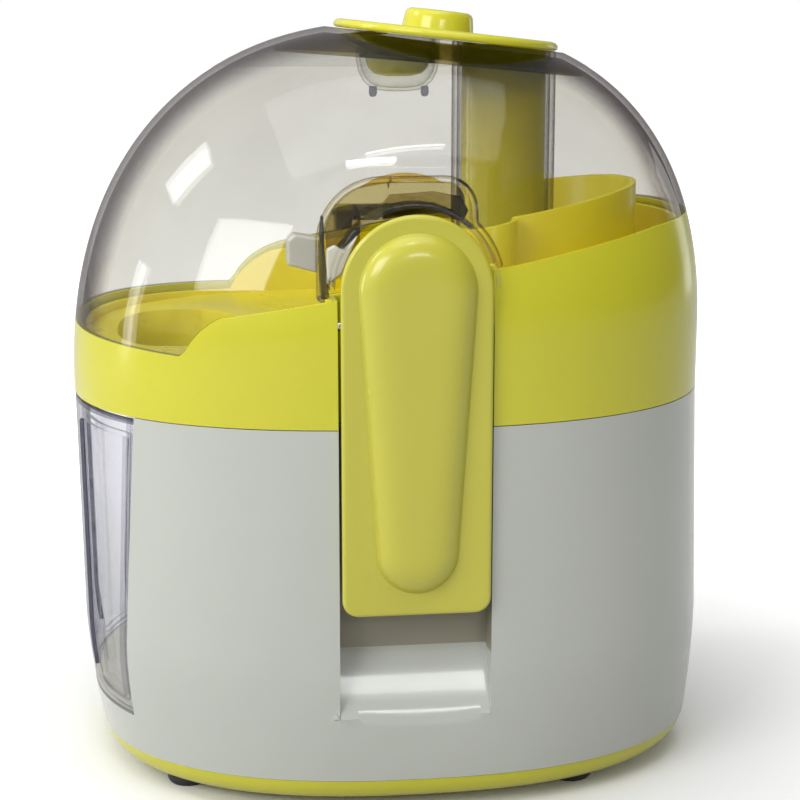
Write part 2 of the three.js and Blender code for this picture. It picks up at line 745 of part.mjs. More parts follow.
function makeBrush(side) {
  const y0 = side > 0 ? 10 : -22;
  return block(AXIS_X - 3, AXIS_X + 3, y0, y0 + 12, 76, 82);
}

function makeBrushHolder(side) {
  const y0 = side > 0 ? 12.5 : -26.5;
  const y1 = y0 + 14;
  const box = block(AXIS_X - 4.8, AXIS_X + 4.8, y0, y1, 74.2, 83.8);
  const foot = block(AXIS_X - 4.8, AXIS_X + 4.8, side > 0 ? 12.8 : -16.5, side > 0 ? 16.5 : -12.8, 65.8, 75);
  return cut(join(box, foot), block(AXIS_X - 3.3, AXIS_X + 3.3, y0 - 1, y1 + 1, 75.7, 82.3));
}

function makeFan() {
  const hub = tube(AXIS_X, 0, 40, 52, 7.5, 4.25, 24);
  const disc = tube(AXIS_X, 0, 50.4, 52, 27, 7, 28);
  const blades = [];
  for (let i = 0; i < 7; i++) {
    const geometry = new THREE.BoxGeometry(19.5, 1.4, 11);
    geometry.translate(16.5, 0, 46);
    geometry.rotateZ((2 * Math.PI * i) / 7);
    geometry.translate(AXIS_X, 0, 0);
    blades.push(solidOf(geometry));
  }
  return join(hub, disc, ...blades);
}

const makeBolt = (x) =>
  join(rod(AXIS_X + x, 0, 58, 61.7, 3.6, 6), rod(AXIS_X + x, 0, 60, 143, 1.9, 8));

function makeGrommet(x, y) {
  return rod(AXIS_X + x, y, 139.4 + GAP, SEAM - 4 - GAP, 5.4, 12);
}

// ---------- switch ----------
const makeKnob = () => {
  const grip = new THREE.BoxGeometry(7, 26, 7);
  grip.translate(0, 0, 10);
  return facing(knobPlace, join(rod(0, 0, 0.6, 6.5, 15, 36), rod(0, 0, 6.5, 8, 15, 36, 13.5), solidOf(grip)));
};
const makeSpindle = () => facing(knobPlace, rod(0, 0, -9, 0.3, 3, 16));
function makeSwitch() {
  const body = new THREE.BoxGeometry(26, 26, 18);
  body.translate(0, 0, -9.5 - GAP - 9);
  const collar = rod(0, 0, -10, -HOUSING_WALL - 0.9, 7, 20);
  return facing(knobPlace, cut(join(solidOf(body), collar), rod(0, 0, -12, 0, 3.4, 16)));
}

// ---------- cord gland ----------
const makeGland = () =>
  facing(glandPlace, cut(join(rod(0, 0, -4.4, 2, 6, 20), rod(0, 0, 0.7, 2.8, 8.4, 20)), rod(0, 0, -10, 10, 4.1, 20)));

// ---------- latch ----------
function makeLatch() {
  const centre = LATCH_TOP - LATCH_HALF;
  const corner = 6;
  const plate = new THREE.Shape();
  plate.moveTo(-LATCH_HALF + corner, LATCH_BOTTOM);
  plate.lineTo(LATCH_HALF - corner, LATCH_BOTTOM);
  plate.quadraticCurveTo(LATCH_HALF, LATCH_BOTTOM, LATCH_HALF, LATCH_BOTTOM + corner);
  plate.lineTo(LATCH_HALF, centre);
  plate.absarc(0, centre, LATCH_HALF, 0, Math.PI, false);
  plate.lineTo(-LATCH_HALF, LATCH_BOTTOM + corner);
  plate.quadraticCurveTo(-LATCH_HALF, LATCH_BOTTOM, -LATCH_HALF + corner, LATCH_BOTTOM);
  const base = slab(plate, -LATCH_FACE, -LATCH_FACE + LATCH_PLATE, 8);
  const ears = [-1, 1].map((side) => {
    const x0 = side > 0 ? 16 : -20;
    return bar([[-103, 178], [-95.5, 184], [-94, 190], [-95.5, 195], [-103, 201]], x0, x0 + 4);
  });
  const tooth = bar([[-103, 172], [-95.4, 173.5], [-95.4, 176], [-103, 180]], -10, 10);
  const switchRib = block(-3, 3, -103, -CHANNEL_BACK - 6, 112, 120);
  return cut(
    join(base, makeGrip(), ...ears, tooth, switchRib),
    rodX(-30, 30, LATCH_PIN_Y, LATCH_PIN_Z, PIN_BORE),
  );
}

// The raised thumb-shaped grip: three shrinking layers of one outline.
function makeGrip() {
  const outline = (inset) => {
    const shape = new THREE.Shape();
    const top = 21.4 - inset;
    const bottom = 15 - inset;
    shape.moveTo(top, 202.5);
    shape.absarc(0, 202.5, top, 0, Math.PI, false);
    shape.lineTo(-bottom, 106);
    shape.absarc(0, 106, bottom, Math.PI, 2 * Math.PI, false);
    return shape;
  };
  const layer = (inset, out) => slab(outline(inset), -LATCH_FACE - out, -LATCH_FACE + 0.5, 8);
  return join(layer(0, 3.4), layer(3, 6));
}

const makeLatchPin = () =>
  rodX(-CHANNEL_HALF - 1.8, CHANNEL_HALF + 1.8, LATCH_PIN_Y, LATCH_PIN_Z, PIN_R, 12);
const makeHingePin = () => rodX(HINGE_X - 25, HINGE_X + 25, HINGE_Y, HINGE_Z, PIN_R, 12);

// ---------- interlock ----------
const makePlunger = () =>
  join(
    rodAlongY(0, -CHANNEL_BACK - 5.6, -73, PLUNGER_Z, 2.6),
    rodAlongY(0, -78.6, -76.6, PLUNGER_Z, 4.4),
  );
const makeSpring = () =>
  cut(rodAlongY(0, -76.3, -71.9, PLUNGER_Z, 4.2), rodAlongY(0, -90, -70, PLUNGER_Z, 3));
function makeMicroswitch() {
  const body = block(-10, 10, -71.6, -65, PLUNGER_Z - 8, PLUNGER_Z + 8);
  const legs = [-1, 1].map((side) => {
    const x0 = side > 0 ? 6 : -9;
    return block(x0, x0 + 3, -82.7, -66, PLUNGER_Z - 8, PLUNGER_Z + 8);
  });
  return join(body, ...legs);
}

// ---------- pulp container ----------
function makeContainer() {
  const back = BAY_BACK - 1;
  const heights = [BAY_FLOOR + 0.4, 42, 60, 100, SEAM - 1];
  const outer = envelope(heights, 0.3).intersect(bayPrism(-0.5, 20, back));
  const inner = envelope([BAY_FLOOR, 42, 60, 100, 170], CONTAINER_WALL + 0.3).intersect(
    cut(bayPrism(-0.5 - CONTAINER_WALL, 20, back - CONTAINER_WALL), block(-150, 0, -80, 80, 0, BAY_FLOOR + 3)),
  );
  const pockets = [-1, 1].map((side) => pocket(side, 0));
  const pocketWalls = [-1, 1].map((side) => pocket(side, CONTAINER_WALL));
  return cut(outer, cut(inner, ...pocketWalls), ...pockets);
}

// A finger pocket beside the grip band, with a shallow relief below it. Grown by grow.
function pocket(side, grow) {
  const y0 = side > 0 ? GRIP_HALF - grow : -62 - grow;
  const y1 = side > 0 ? 62 + grow : -GRIP_HALF + grow;
  return join(
    block(-145, -112.5 + grow, y0, y1, 99 - grow, 146 + grow),
    block(-145, -120.5 + grow, y0, y1, 42 - grow, 100),
  );
}

// ---------- assembly ----------
const juicer = new THREE.Group();

function addPiece(name, solid, material) {
  const plain = solid.asOriginal().simplify(SMALLEST_FEATURE);
  const mesh = new THREE.Mesh(geometryOf(plain), material);
  mesh.name = name;
  juicer.add(mesh);
}

addPiece("motor_housing", makeHousing(), WHITE);
addPiece("base_pan", makeBasePan(), YELLOW);
for (const [end, [x, y]] of [["left", FOOT_LEFT], ["right", FOOT_RIGHT]]) {
  addPiece(`foot_front_${end}`, makeFoot(x, -y), RUBBER);
  addPiece(`foot_rear_${end}`, makeFoot(x, y), RUBBER);
}
for (const [end, [x, y]] of [["left", BOSS_LEFT], ["right", BOSS_RIGHT]]) {
  addPiece(`base_screw_front_${end}`, makeBaseScrew(x, -y), STEEL);
  addPiece(`base_screw_rear_${end}`, makeBaseScrew(x, y), STEEL);
}
addPiece("collar", makeCollar(), YELLOW);
addPiece("collector", makeCollector(), YELLOW);
addPiece("lid_dome", makeLid(), CLEAR);
addPiece("pusher_stem", makePusherStem(), YELLOW);
addPiece("pusher_cap", makePusherCap(), YELLOW);

addPiece("basket_hub", makeBasketHub(), WHITE);
addPiece("grater_disc", makeGrater(), STEEL);
addPiece("filter_cone", makeFilterCone(), STEEL);
addPiece("basket_rim", makeBasketRim(), WHITE);

addPiece("drive_coupling", makeCoupling(), BLACK);
addPiece("motor_shaft", makeShaft(), STEEL);
addPiece("shaft_seal", makeSeal(), RUBBER);
addPiece("upper_bearing", makeBearing(129.4), STEEL);
addPiece("lower_bearing", makeBearing(61.9), STEEL);
addPiece("upper_bracket", makeUpperBracket(), IRON);
addPiece("lower_bracket", makeLowerBracket(), IRON);
addPiece("stator_core", makeStator(), IRON);
addPiece("field_coil_front", makeCoil(-1), COPPER);
addPiece("field_coil_rear", makeCoil(1), COPPER);
addPiece("rotor_core", makeRotorCore(), IRON);
addPiece("rotor_winding", makeRotorWinding(), COPPER);
addPiece("commutator", makeCommutator(), COPPER);
for (const [end, side] of [["front", -1], ["rear", 1]]) {
  addPiece(`brush_${end}`, makeBrush(side), CARBON);
  addPiece(`brush_holder_${end}`, makeBrushHolder(side), BRASS);
}
addPiece("cooling_fan", makeFan(), BLACK);
BOLTS.forEach((x, i) => addPiece(`motor_bolt_${i + 1}`, makeBolt(x), STEEL));
GROMMETS.forEach(([x, y], i) => addPiece(`motor_grommet_${i + 1}`, makeGrommet(x, y), RUBBER));

addPiece("speed_knob", makeKnob(), YELLOW);
addPiece("switch_spindle", makeSpindle(), BLACK);
addPiece("speed_switch", makeSwitch(), BLACK);
addPiece("cord_gland", makeGland(), RUBBER);

addPiece("front_latch", makeLatch(), YELLOW);
addPiece("latch_pin", makeLatchPin(), STEEL);
addPiece("hinge_pin", makeHingePin(), STEEL);

addPiece("interlock_plunger", makePlunger(), BLACK);
addPiece("interlock_spring", makeSpring(), STEEL);
addPiece("interlock_switch", makeMicroswitch(), BLACK);

addPiece("pulp_container", makeContainer(), SMOKE);

export default juicer;
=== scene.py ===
"""The looks of a centrifugal juicer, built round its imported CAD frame.

Lengths in this file are millimetres in the frame's axes unless a comment says otherwise: sheets of
points become metres when they are made into meshes. -X is the container end, +X the spout end, -Y
the front with the latch, +Z up.
"""

import json
import math

import bmesh
import bpy
from mathutils import Matrix, Vector


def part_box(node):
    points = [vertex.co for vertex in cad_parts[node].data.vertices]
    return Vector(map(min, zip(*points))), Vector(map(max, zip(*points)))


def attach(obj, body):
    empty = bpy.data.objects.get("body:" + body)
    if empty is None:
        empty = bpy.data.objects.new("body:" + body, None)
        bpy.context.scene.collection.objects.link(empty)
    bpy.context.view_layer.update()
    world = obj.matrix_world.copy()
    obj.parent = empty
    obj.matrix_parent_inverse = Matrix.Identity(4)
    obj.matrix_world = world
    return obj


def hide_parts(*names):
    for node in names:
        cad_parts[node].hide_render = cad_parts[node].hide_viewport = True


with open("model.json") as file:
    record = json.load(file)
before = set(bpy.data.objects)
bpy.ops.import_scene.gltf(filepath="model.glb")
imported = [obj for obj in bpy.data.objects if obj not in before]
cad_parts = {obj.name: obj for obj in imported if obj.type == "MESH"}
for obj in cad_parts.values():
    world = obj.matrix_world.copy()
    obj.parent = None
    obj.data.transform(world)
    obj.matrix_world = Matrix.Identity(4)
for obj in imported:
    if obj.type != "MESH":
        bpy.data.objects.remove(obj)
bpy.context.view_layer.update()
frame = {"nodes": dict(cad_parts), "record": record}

MM = 0.001
TURN = 2 * math.pi


def corners(node):
    """A CAD node's lowest and highest corners in millimetres."""
    return [[round(v / MM, 3) for v in corner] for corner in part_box(node)]


# ---------- dimensions read from the frame ----------
CONTAINER_LOW, CONTAINER_HIGH = corners("pulp_container")
LATCH_LOW, LATCH_HIGH = corners("front_latch")
STEM_LOW, STEM_HIGH = corners("pusher_stem")
SEAM = corners("motor_housing")[1][2]  # joint between the white housing and the yellow collar
BASE_SEAM = corners("base_pan")[1][2]
FLOOR_PLAY = 0.4  # between the container and the floor of its bay
BACK_PLAY = 1.0  # between the container and the back of its bay
BAY_FLOOR = round(CONTAINER_LOW[2] - FLOOR_PLAY, 3)
BAY_BACK = round(CONTAINER_HIGH[0] + BACK_PLAY, 3)
CONTAINER_TOP = CONTAINER_HIGH[2]
LATCH_HALF = LATCH_HIGH[0]
LATCH_TOP = LATCH_HIGH[2]
LATCH_BOTTOM = LATCH_LOW[2]
TUBE_X = round((STEM_LOW[0] + STEM_HIGH[0]) / 2, 3)
TUBE_Y = round((STEM_LOW[1] + STEM_HIGH[1]) / 2, 3)

# ---------- driving dimensions ----------
# The scoop, the niche and the dome's front patch are drawn for looks; the rest repeat the CAD.
GAP = 0.3
DOME_X = 2.0
DOME_TOP = 296.3
OVAL_POWER = 2.38
LEFT = {"reach": 128.9, "grow": 0.0136, "from": 154.3, "power": 2.24, "tuck": 7.9}
RIGHT = {"reach": 125.8, "grow": -0.029, "from": 173.5, "power": 2.54, "tuck": 6.2}
DEPTH = {"reach": 103.0, "grow": 0.0, "from": 182.0, "power": 2.0, "tuck": 6.4}
TUCK_FROM = 60.0
RIM_AT_CENTRE = 203.4
RIM_SLOPE = 0.172
RIM_EASE_FROM = 100.0
RIM_SKEW = 0.06
STEP = {"from": -72.4, "to": -43.4, "low": 178.0, "skew": 0.139, "tilt": 0.008}
CHANNEL_HALF = 28.5
CHANNEL_BACK = -88.0
SCOOP = [(37.4, -103.2), (46.0, -98.0), (59.5, -92.0), (64.5, -88.0)]
NICHE_HALF = 32.8
NICHE_TOP = 240.3
NICHE_CORNER = 22.0
NICHE_BACK = -86.0
ARCH_Z = round(LATCH_TOP - LATCH_HALF, 3)  # centre of the latch's round head
ARCH_R = 31.1
PATCH_HALF = 46.0  # the dome's front patch round the niche
PATCH_TOP = 262.0
BAY_HALF_LOW = 59.5
BAY_HALF = 70.0
ALCOVE_X = 141.0
ALCOVE_R = 34.0
SEAT_X = 25.3
SEAT_Z = 289.2
SEAT_TILT = 0.11
TUBE_R = 21.5
KEY_X = 6.0
LATCH_FACE = -105.5
GRIP_HALF = 27.5


def clamp(value, low=0.0, high=1.0):
    return min(high, max(low, value))


def lerp(a, b, share):
    return a + (b - a) * share


def spread(start, end, count):
    """count + 1 evenly spaced numbers."""
    return [lerp(start, end, i / count) for i in range(count + 1)]


# ---------- the outer envelope ----------
def reach(side, z, inset):
    top = DOME_TOP - inset
    wall = side["reach"] + side["grow"] * min(0.0, z - SEAM) - inset
    rise = clamp((z - side["from"]) / (top - side["from"]))
    tuck = side["tuck"] * (max(0.0, TUCK_FROM - z) / TUCK_FROM) ** 1.5
    return wall * max(0.0, 1 - rise ** side["power"]) ** (1 / side["power"]) - tuck


def oval(z, inset=0.0):
    """The oval section at height z: centre, half length, half width and exponent."""
    left = DOME_X - reach(LEFT, z, inset)
    right = DOME_X + reach(RIGHT, z, inset)
    power = lerp(OVAL_POWER, 2.0, clamp((z - 190) / (DOME_TOP - 190)))
    return (left + right) / 2, (right - left) / 2, reach(DEPTH, z, inset), power


def signed_power(value, power):
    return math.copysign(abs(value) ** power, value)


def on_oval(z, angle, inset=0.0):
    x, a, b, power = oval(z, inset)
    return (
        x + a * signed_power(math.cos(angle), 2 / power),
        b * signed_power(math.sin(angle), 2 / power),
        z,
    )


def front_angle(z, x, inset=0.0):
    """The angle where the front of the oval passes x."""
    centre, a, _, power = oval(z, inset)
    return TURN - math.acos(signed_power(clamp((x - centre) / a, -1, 1), power / 2))


def left_angle(z, y, inset=0.0):
    """The angle where the container end of the oval passes y."""
    _, _, b, power = oval(z, inset)
    return math.pi - math.asin(signed_power(clamp(y / b, -1, 1), power / 2))


def crossing(test, low, high):
    """Where test changes sign between two angles."""
    rising = test(low) < test(high)
    for _ in range(40):
        middle = (low + high) / 2
        if (test(middle) < 0) == rising:
            low = middle
        else:
            high = middle
    return (low + high) / 2


def alcove_angle(z):
    def outside(angle):
        x, y, _ = on_oval(z, angle)
        return math.hypot(x - ALCOVE_X, y) - ALCOVE_R

    return crossing(outside, 0.0, math.pi / 4)


def front_depth(x, z):
    """Y of the envelope's front at x and z."""
    centre, a, b, power = oval(z)
    return -b * (1 - abs((x - centre) / a) ** power) ** (1 / power)


def rim_height(x, y):
    """The height of the joint between collar and dome above a place."""
    along = x - RIM_SKEW * y
    slope = RIM_AT_CENTRE + RIM_SLOPE * min(along, RIM_EASE_FROM) + 0.08 * max(0, along - RIM_EASE_FROM)
    along = x - STEP["skew"] * y
    low = STEP["low"] + STEP["tilt"] * y
    if along >= STEP["to"]:
        return slope
    if along <= STEP["from"]:
        return low + 3 * (STEP["from"] - along) / 57.6
    run = STEP["to"] - STEP["from"]
    bend = run - 14
    share = (-14 + math.sqrt(196 + 4 * bend * (along - STEP["from"]))) / (2 * bend)
    top = RIM_AT_CENTRE + RIM_SLOPE * STEP["to"] + 1.5
    foot = low
    knee = low + 15.5
    step = (1 - share) ** 2 * foot + 2 * share * (1 - share) * knee + share**2 * top
    return min(slope, step)


def step_angle(along, low, high):
    """The angle on the rim where the step's own X is along, between two angles."""

    def beyond(angle):
        x, y, _ = on_oval(190, angle)
        return x - STEP["skew"] * y - along

    return crossing(beyond, low, high)


def columns(stops, counts):
    """Angles once round, evenly spaced between each stop and the next."""
    angles = []
    for start, end, count in zip(stops, stops[1:], counts):
        angles += spread(start, end, count)[:-1]
    return angles


def section_index(counts, column):
    """Which stretch between two stops a column starts in."""
    for index, count in enumerate(counts):
        if column < count:
            return index
        column -= count
    return len(counts) - 1


# ---------- sheets and pieces ----------
class Sheet:
    """Grids of points that are welded where they meet."""

    def __init__(self):
        self.points = []
        self.faces = []

    def grid(self, rows, closed=False, keep=None):
        start = len(self.points)
        width = len(rows[0])
        for row in rows:
            self.points.extend(row)
        for r in range(len(rows) - 1):
            for c in range(width if closed else width - 1):
                if keep is None or keep(r, c):
                    a = start + r * width + c
                    b = start + r * width + (c + 1) % width
                    self.faces.append((a, b, b + width, a + width))
        return self

    def patch(self, ring):
        """One flat face inside a ring."""
        start = len(self.points)
        self.points.extend(ring)
        self.faces.append(tuple(range(start, start + len(ring))))
        return self

    def loft(self, rings):
        """A closed solid through rings, with flat ends."""
        self.grid(rings, closed=True)
        self.patch(rings[0])
        self.patch(rings[-1])
        return self

    def mesh(self, name):
        mesh = bpy.data.meshes.new(name)
        mesh.from_pydata([Vector(p) * MM for p in self.points], [], self.faces)
        work = bmesh.new()
        work.from_mesh(mesh)
        bmesh.ops.remove_doubles(work, verts=work.verts, dist=2e-5)
        bmesh.ops.recalc_face_normals(work, faces=work.faces)
        work.to_mesh(mesh)
        work.free()
        return mesh


def circle(x, y, z, radius, count=48):
    return [
        (x + radius * math.cos(TURN * i / count), y + radius * math.sin(TURN * i / count), z)
        for i in range(count)
    ]


def turned(x, y, profile, count=64):
    """Rings round an upright axis through a profile of radius and height."""
    return [circle(x, y, z, radius, count) for radius, z in profile]


def add_modifiers(piece, thickness, bevel, angle=38):
    if thickness:
        solidify = piece.modifiers.new("wall", "SOLIDIFY")
        solidify.thickness = thickness * MM
        solidify.offset = -1
    if bevel:
        rounding = piece.modifiers.new("edges", "BEVEL")
        rounding.width = bevel * MM
        rounding.segments = 3
        rounding.limit_method = "ANGLE"
        rounding.angle_limit = math.radians(angle)
        rounding.harden_normals = True


def add_piece(name, sheet, body, material, nodes=(), thickness=0.0, bevel=0.0):
    """Makes a sheet into a piece that rides on a body and stands for CAD nodes."""
    mesh = sheet.mesh(name)
    for face in mesh.polygons:
        face.use_smooth = True
    piece = bpy.data.objects.new(name, mesh)
    bpy.context.scene.collection.objects.link(piece)
    mesh.materials.append(material)
    add_modifiers(piece, thickness, bevel)
    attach(piece, body)
    if nodes:
        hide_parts(*nodes)
    return piece


def tint_faces(piece, material, test):
    """Gives one more material to the faces whose middle, in millimetres, passes a test."""
    piece.data.materials.append(material)
    for face in piece.data.polygons:
        if test(*(face.center / MM)):
            face.material_index = len(piece.data.materials) - 1


def slab(outline, y0, y1):
    """A closed solid from an outline of X and Z between two depths."""
    return Sheet().loft([[(x, y, z) for x, z in outline] for y in (y0, y1)])


def bar(outline, x0, x1):
    """A closed solid from an outline of Y and Z between two places along X."""
    return Sheet().loft([[(x, y, z) for y, z in outline] for x in (x0, x1)])


# ---------- materials ----------
class Nodes:
    """A material's or world's node tree, with short calls for the nodes used here."""

    def __init__(self, owner, output="ShaderNodeOutputMaterial"):
        self.owner = owner
        owner.use_nodes = True
        self.tree = owner.node_tree
        self.tree.nodes.clear()
        self.output = self.add(output)
        self.place = self.add("ShaderNodeTexCoord").outputs["Object"]

    def add(self, kind, **inputs):
        node = self.tree.nodes.new(kind)
        for key, value in inputs.items():
            self.feed(node, key.replace("_", " "), value)
        return node

    def feed(self, node, socket, value):
        if isinstance(value, bpy.types.NodeSocket):
            self.tree.links.new(value, node.inputs[socket])
        else:
            node.inputs[socket].default_value = value

    def noise(self, scale, detail=3.0, roughness=0.5, stretch=(1, 1, 1)):
        """Noise over the piece; scale is in lumps per metre."""
        mapping = self.add("ShaderNodeMapping", Vector=self.place, Scale=stretch)
        noise = self.add(
            "ShaderNodeTexNoise",
            Vector=mapping.outputs["Vector"],
            Scale=scale,
            Detail=detail,
            Roughness=roughness,
        )
        return noise.outputs["Fac"]

    def ramp(self, value, low, high, start=0.3, end=0.7):
        """A number that goes from low to high as value goes from start to end."""
        node = self.tree.nodes.new("ShaderNodeMapRange")
        self.feed(node, "Value", value)
        node.inputs["From Min"].default_value = start
        node.inputs["From Max"].default_value = end
        node.inputs["To Min"].default_value = low
        node.inputs["To Max"].default_value = high
        return node.outputs["Result"]

    def blend(self, share, first, second):
        """A colour between two colours."""
        node = self.tree.nodes.new("ShaderNodeMix")
        node.data_type = "RGBA"
        self.tree.links.new(share, node.inputs["Factor"])
        for socket, value in ((node.inputs[6], first), (node.inputs[7], second)):
            if isinstance(value, bpy.types.NodeSocket):
                self.tree.links.new(value, socket)
            else:
                socket.default_value = (*value, 1)
        return node.outputs[2]

    def maths(self, operation, first, second):
        node = self.tree.nodes.new("ShaderNodeMath")
        node.operation = operation
        self.feed(node, 0, first)
        self.feed(node, 1, second)
        return node.outputs[0]

    def mixed(self, share, first, second):
        """A shader between two shaders."""
        node = self.add("ShaderNodeMixShader", Fac=share)
        self.feed(node, 1, first)
        self.feed(node, 2, second)
        return node.outputs["Shader"]

    def bump(self, height, distance, strength=0.4):
        node = self.add("ShaderNodeBump", Height=height)
        node.inputs["Distance"].default_value = distance * MM
        node.inputs["Strength"].default_value = strength
        return node.outputs["Normal"]

    def finish(self, shader):
        self.tree.links.new(shader, self.output.inputs["Surface"])
        return self.owner


def shade(colour, factor):
    return tuple(clamp(c * factor) for c in colour)


def moulded_plastic(name, colour, rough, mottle=0.05, pale_edges=0.5, coat=0.0, waxy=0.0):
    """Opaque moulded plastic: faint flow mottling, a fine grain, paler sharp edges and smudges."""
    n = Nodes(bpy.data.materials.new(name))
    flow = n.ramp(n.noise(14, 4, stretch=(1, 1, 0.45)), 0, 1, 0.35, 0.65)
    base = n.blend(flow, shade(colour, 1 - mottle), shade(colour, 1 + mottle))
    edges = n.ramp(n.add("ShaderNodeNewGeometry").outputs["Pointiness"], 0, pale_edges, 0.52, 0.62)
    edged_colour = n.blend(edges, base, shade(colour, 1.16))
    smudges = n.noise(38, 5, 0.6)
    shader = n.add("ShaderNodeBsdfPrincipled", Base_Color=edged_colour)
    n.feed(shader, "Roughness", n.ramp(smudges, rough * 0.85, rough * 1.25))
    n.feed(shader, "Normal", n.bump(n.noise(1400, 2), 0.05, 0.18))
    shader.inputs["IOR"].default_value = 1.49
    shader.inputs["Coat Weight"].default_value = coat
    shader.inputs["Coat Roughness"].default_value = 0.06
    shader.inputs["Subsurface Weight"].default_value = waxy
    shader.inputs["Subsurface Radius"].default_value = (1.0, 0.8, 0.3)
    shader.inputs["Subsurface Scale"].default_value = 0.003
    return n.finish(shader.outputs["BSDF"])


def clear_plastic(name, face_on, edge_on, rough, edge_from=0.55):
    """Thin clear plastic: it tints what is behind it more where it is seen edge-on."""
    n = Nodes(bpy.data.materials.new(name))
    slant = n.add("ShaderNodeLayerWeight", Blend=0.5).outputs["Facing"]
    tint = n.blend(n.ramp(slant, 0, 1, edge_from, 0.97), face_on, edge_on)
    streaky = n.blend(n.ramp(n.noise(20, 4), 0, 0.05), tint, shade(edge_on, 0.9))
    through = n.add("ShaderNodeBsdfTransparent", Color=streaky)
    gloss = n.add("ShaderNodeBsdfGlossy")
    n.feed(gloss, "Roughness", n.ramp(n.noise(60, 5), rough * 0.7, rough * 1.6))
    n.feed(gloss, "Normal", n.bump(n.noise(26, 3), 0.25, 0.25))
    mirroring = n.ramp(n.maths("POWER", slant, 5.0), 0.035, 0.75, 0, 1)
    shader = n.mixed(mirroring, through.outputs["BSDF"], gloss.outputs["BSDF"])
    return n.finish(let_light_in(n, shader))


def let_light_in(n, shader):
    """Lets shadow and diffuse rays through thin clear plastic nearly untinted, so light gets in."""
    rays = n.add("ShaderNodeLightPath")
    clear = n.add("ShaderNodeBsdfTransparent", Color=(0.98, 0.98, 0.97, 1.0))
    for kind in ("Is Shadow Ray", "Is Diffuse Ray"):
        shader = n.mixed(rays.outputs[kind], shader, clear.outputs["BSDF"])
    return shader


def metal(name, colour, rough, grain=(1, 1, 14)):
    """Metal with drawn or turned lines and a little dull oxide."""
    n = Nodes(bpy.data.materials.new(name))
    lines = n.noise(420, 4, 0.6, grain)
    stains = n.ramp(n.noise(55, 4), 0, 1, 0.4, 0.75)
    base = n.blend(stains, colour, shade(colour, 0.72))
    shader = n.add("ShaderNodeBsdfPrincipled", Base_Color=base)
    shader.inputs["Metallic"].default_value = 1.0
    n.feed(shader, "Roughness", n.ramp(lines, rough * 0.7, rough * 1.35))
    n.feed(shader, "Normal", n.bump(lines, 0.04, 0.3))
    return n.finish(shader.outputs["BSDF"])


def rubber(name, colour, rough=0.7):
    n = Nodes(bpy.data.materials.new(name))
    dust = n.ramp(n.noise(90, 5, 0.65), 0, 0.6, 0.5, 0.8)
    base = n.blend(dust, colour, shade(colour, 2.2))
    shader = n.add("ShaderNodeBsdfPrincipled", Base_Color=base)
    n.feed(shader, "Roughness", n.ramp(n.noise(300, 3), rough * 0.85, rough * 1.15))
    n.feed(shader, "Normal", n.bump(n.noise(1800, 3), 0.08, 0.5))
    return n.finish(shader.outputs["BSDF"])


YELLOW = moulded_plastic("yellow_plastic", (0.67, 0.64, 0.03), 0.2, 0.03, 0.5, 0.2, 0.04)
LATCH_YELLOW = moulded_plastic("latch_plastic", (0.60, 0.565, 0.06), 0.22, 0.03, 0.5, 0.25, 0.04)
# Painted light: a brighter, deeper copy of the yellow plastic, so that the parts inside the dome look more
# brightly lit.
PAINTED_LIGHT_YELLOW = moulded_plastic("yellow_painted_light", (0.93, 0.80, 0.015), 0.3, 0.05, 0.3, 0.1, 0.1)
# Painted shade: a dark beige for the latch channel's walls above the scoop, where the latch's shadow falls.
SHADED = moulded_plastic("recess_painted_shade", (0.27, 0.25, 0.19), 0.35, 0.06, 0.2)
WHITE = moulded_plastic("white_plastic", (0.55, 0.57, 0.52), 0.17, 0.02, 0.5, 0.35, 0.03)
# Pale opaque plastic; on the container's floor it is painted light.
PALE_PLASTIC = moulded_plastic("pale_plastic", (0.70, 0.69, 0.62), 0.35, 0.05, 0.4, 0.2, 0.3)
CLEAR = clear_plastic("clear_plastic", (0.88, 0.879, 0.867), (0.29, 0.245, 0.245), 0.03)
CLEAR_RIM = clear_plastic("clear_rim", (0.96, 0.96, 0.94), (0.84, 0.83, 0.78), 0.05, 0.75)
# Painted refraction: an amber tint for the yellow seen through the thick clear edge over the niche.
AMBER_REFRACTION = clear_plastic("amber_painted_refraction", (0.88, 0.74, 0.30), (0.55, 0.40, 0.12), 0.05)
# Painted shade: a brown tint for the shaded yellow seen through the niche's ribs and for the shade under
# the pusher's flange.
BROWN_SHADE = clear_plastic("brown_painted_shade", (0.74, 0.69, 0.50), (0.42, 0.36, 0.22), 0.05)
# Painted shade: an olive tint for the shaded yellow inside, seen through the niche's walls.
OLIVE_SHADE = clear_plastic("olive_painted_shade", (0.86, 0.83, 0.68), (0.60, 0.55, 0.38), 0.05)
SMOKE = clear_plastic("smoke_plastic", (0.885, 0.885, 0.90), (0.60, 0.60, 0.65), 0.05, 0.72)
DARK_EDGE = clear_plastic("dark_edge", (0.42, 0.42, 0.48), (0.12, 0.12, 0.15), 0.08)
BLACK = moulded_plastic("black_plastic", (0.03, 0.03, 0.032), 0.4, 0.1, 0.3)
RUBBER = rubber("rubber", (0.02, 0.02, 0.021))
CARBON = rubber("carbon", (0.03, 0.03, 0.03), 0.5)
STEEL = metal("steel", (0.62, 0.63, 0.65), 0.28)
IRON = metal("iron", (0.26, 0.27, 0.29), 0.5, (1, 1, 40))
COPPER = metal("copper", (0.60, 0.27, 0.13), 0.36, (8, 8, 1))
BRASS = metal("brass", (0.58, 0.45, 0.18), 0.32)
BY_SLOT = {
    "yellow_plastic": YELLOW,
    "white_plastic": WHITE,
    "clear_plastic": CLEAR,
    "smoke_plastic": SMOKE,
    "steel": STEEL,
    "iron": IRON,
    "copper": COPPER,
    "brass": BRASS,
    "carbon": CARBON,
    "rubber": RUBBER,
    "black_plastic": BLACK,
}


# ---------- housing ----------
HOUSING_COUNTS = [96, 56, 40, 14, 48, 16]
BAY, CHANNEL, ALCOVE = 1, 3, 5


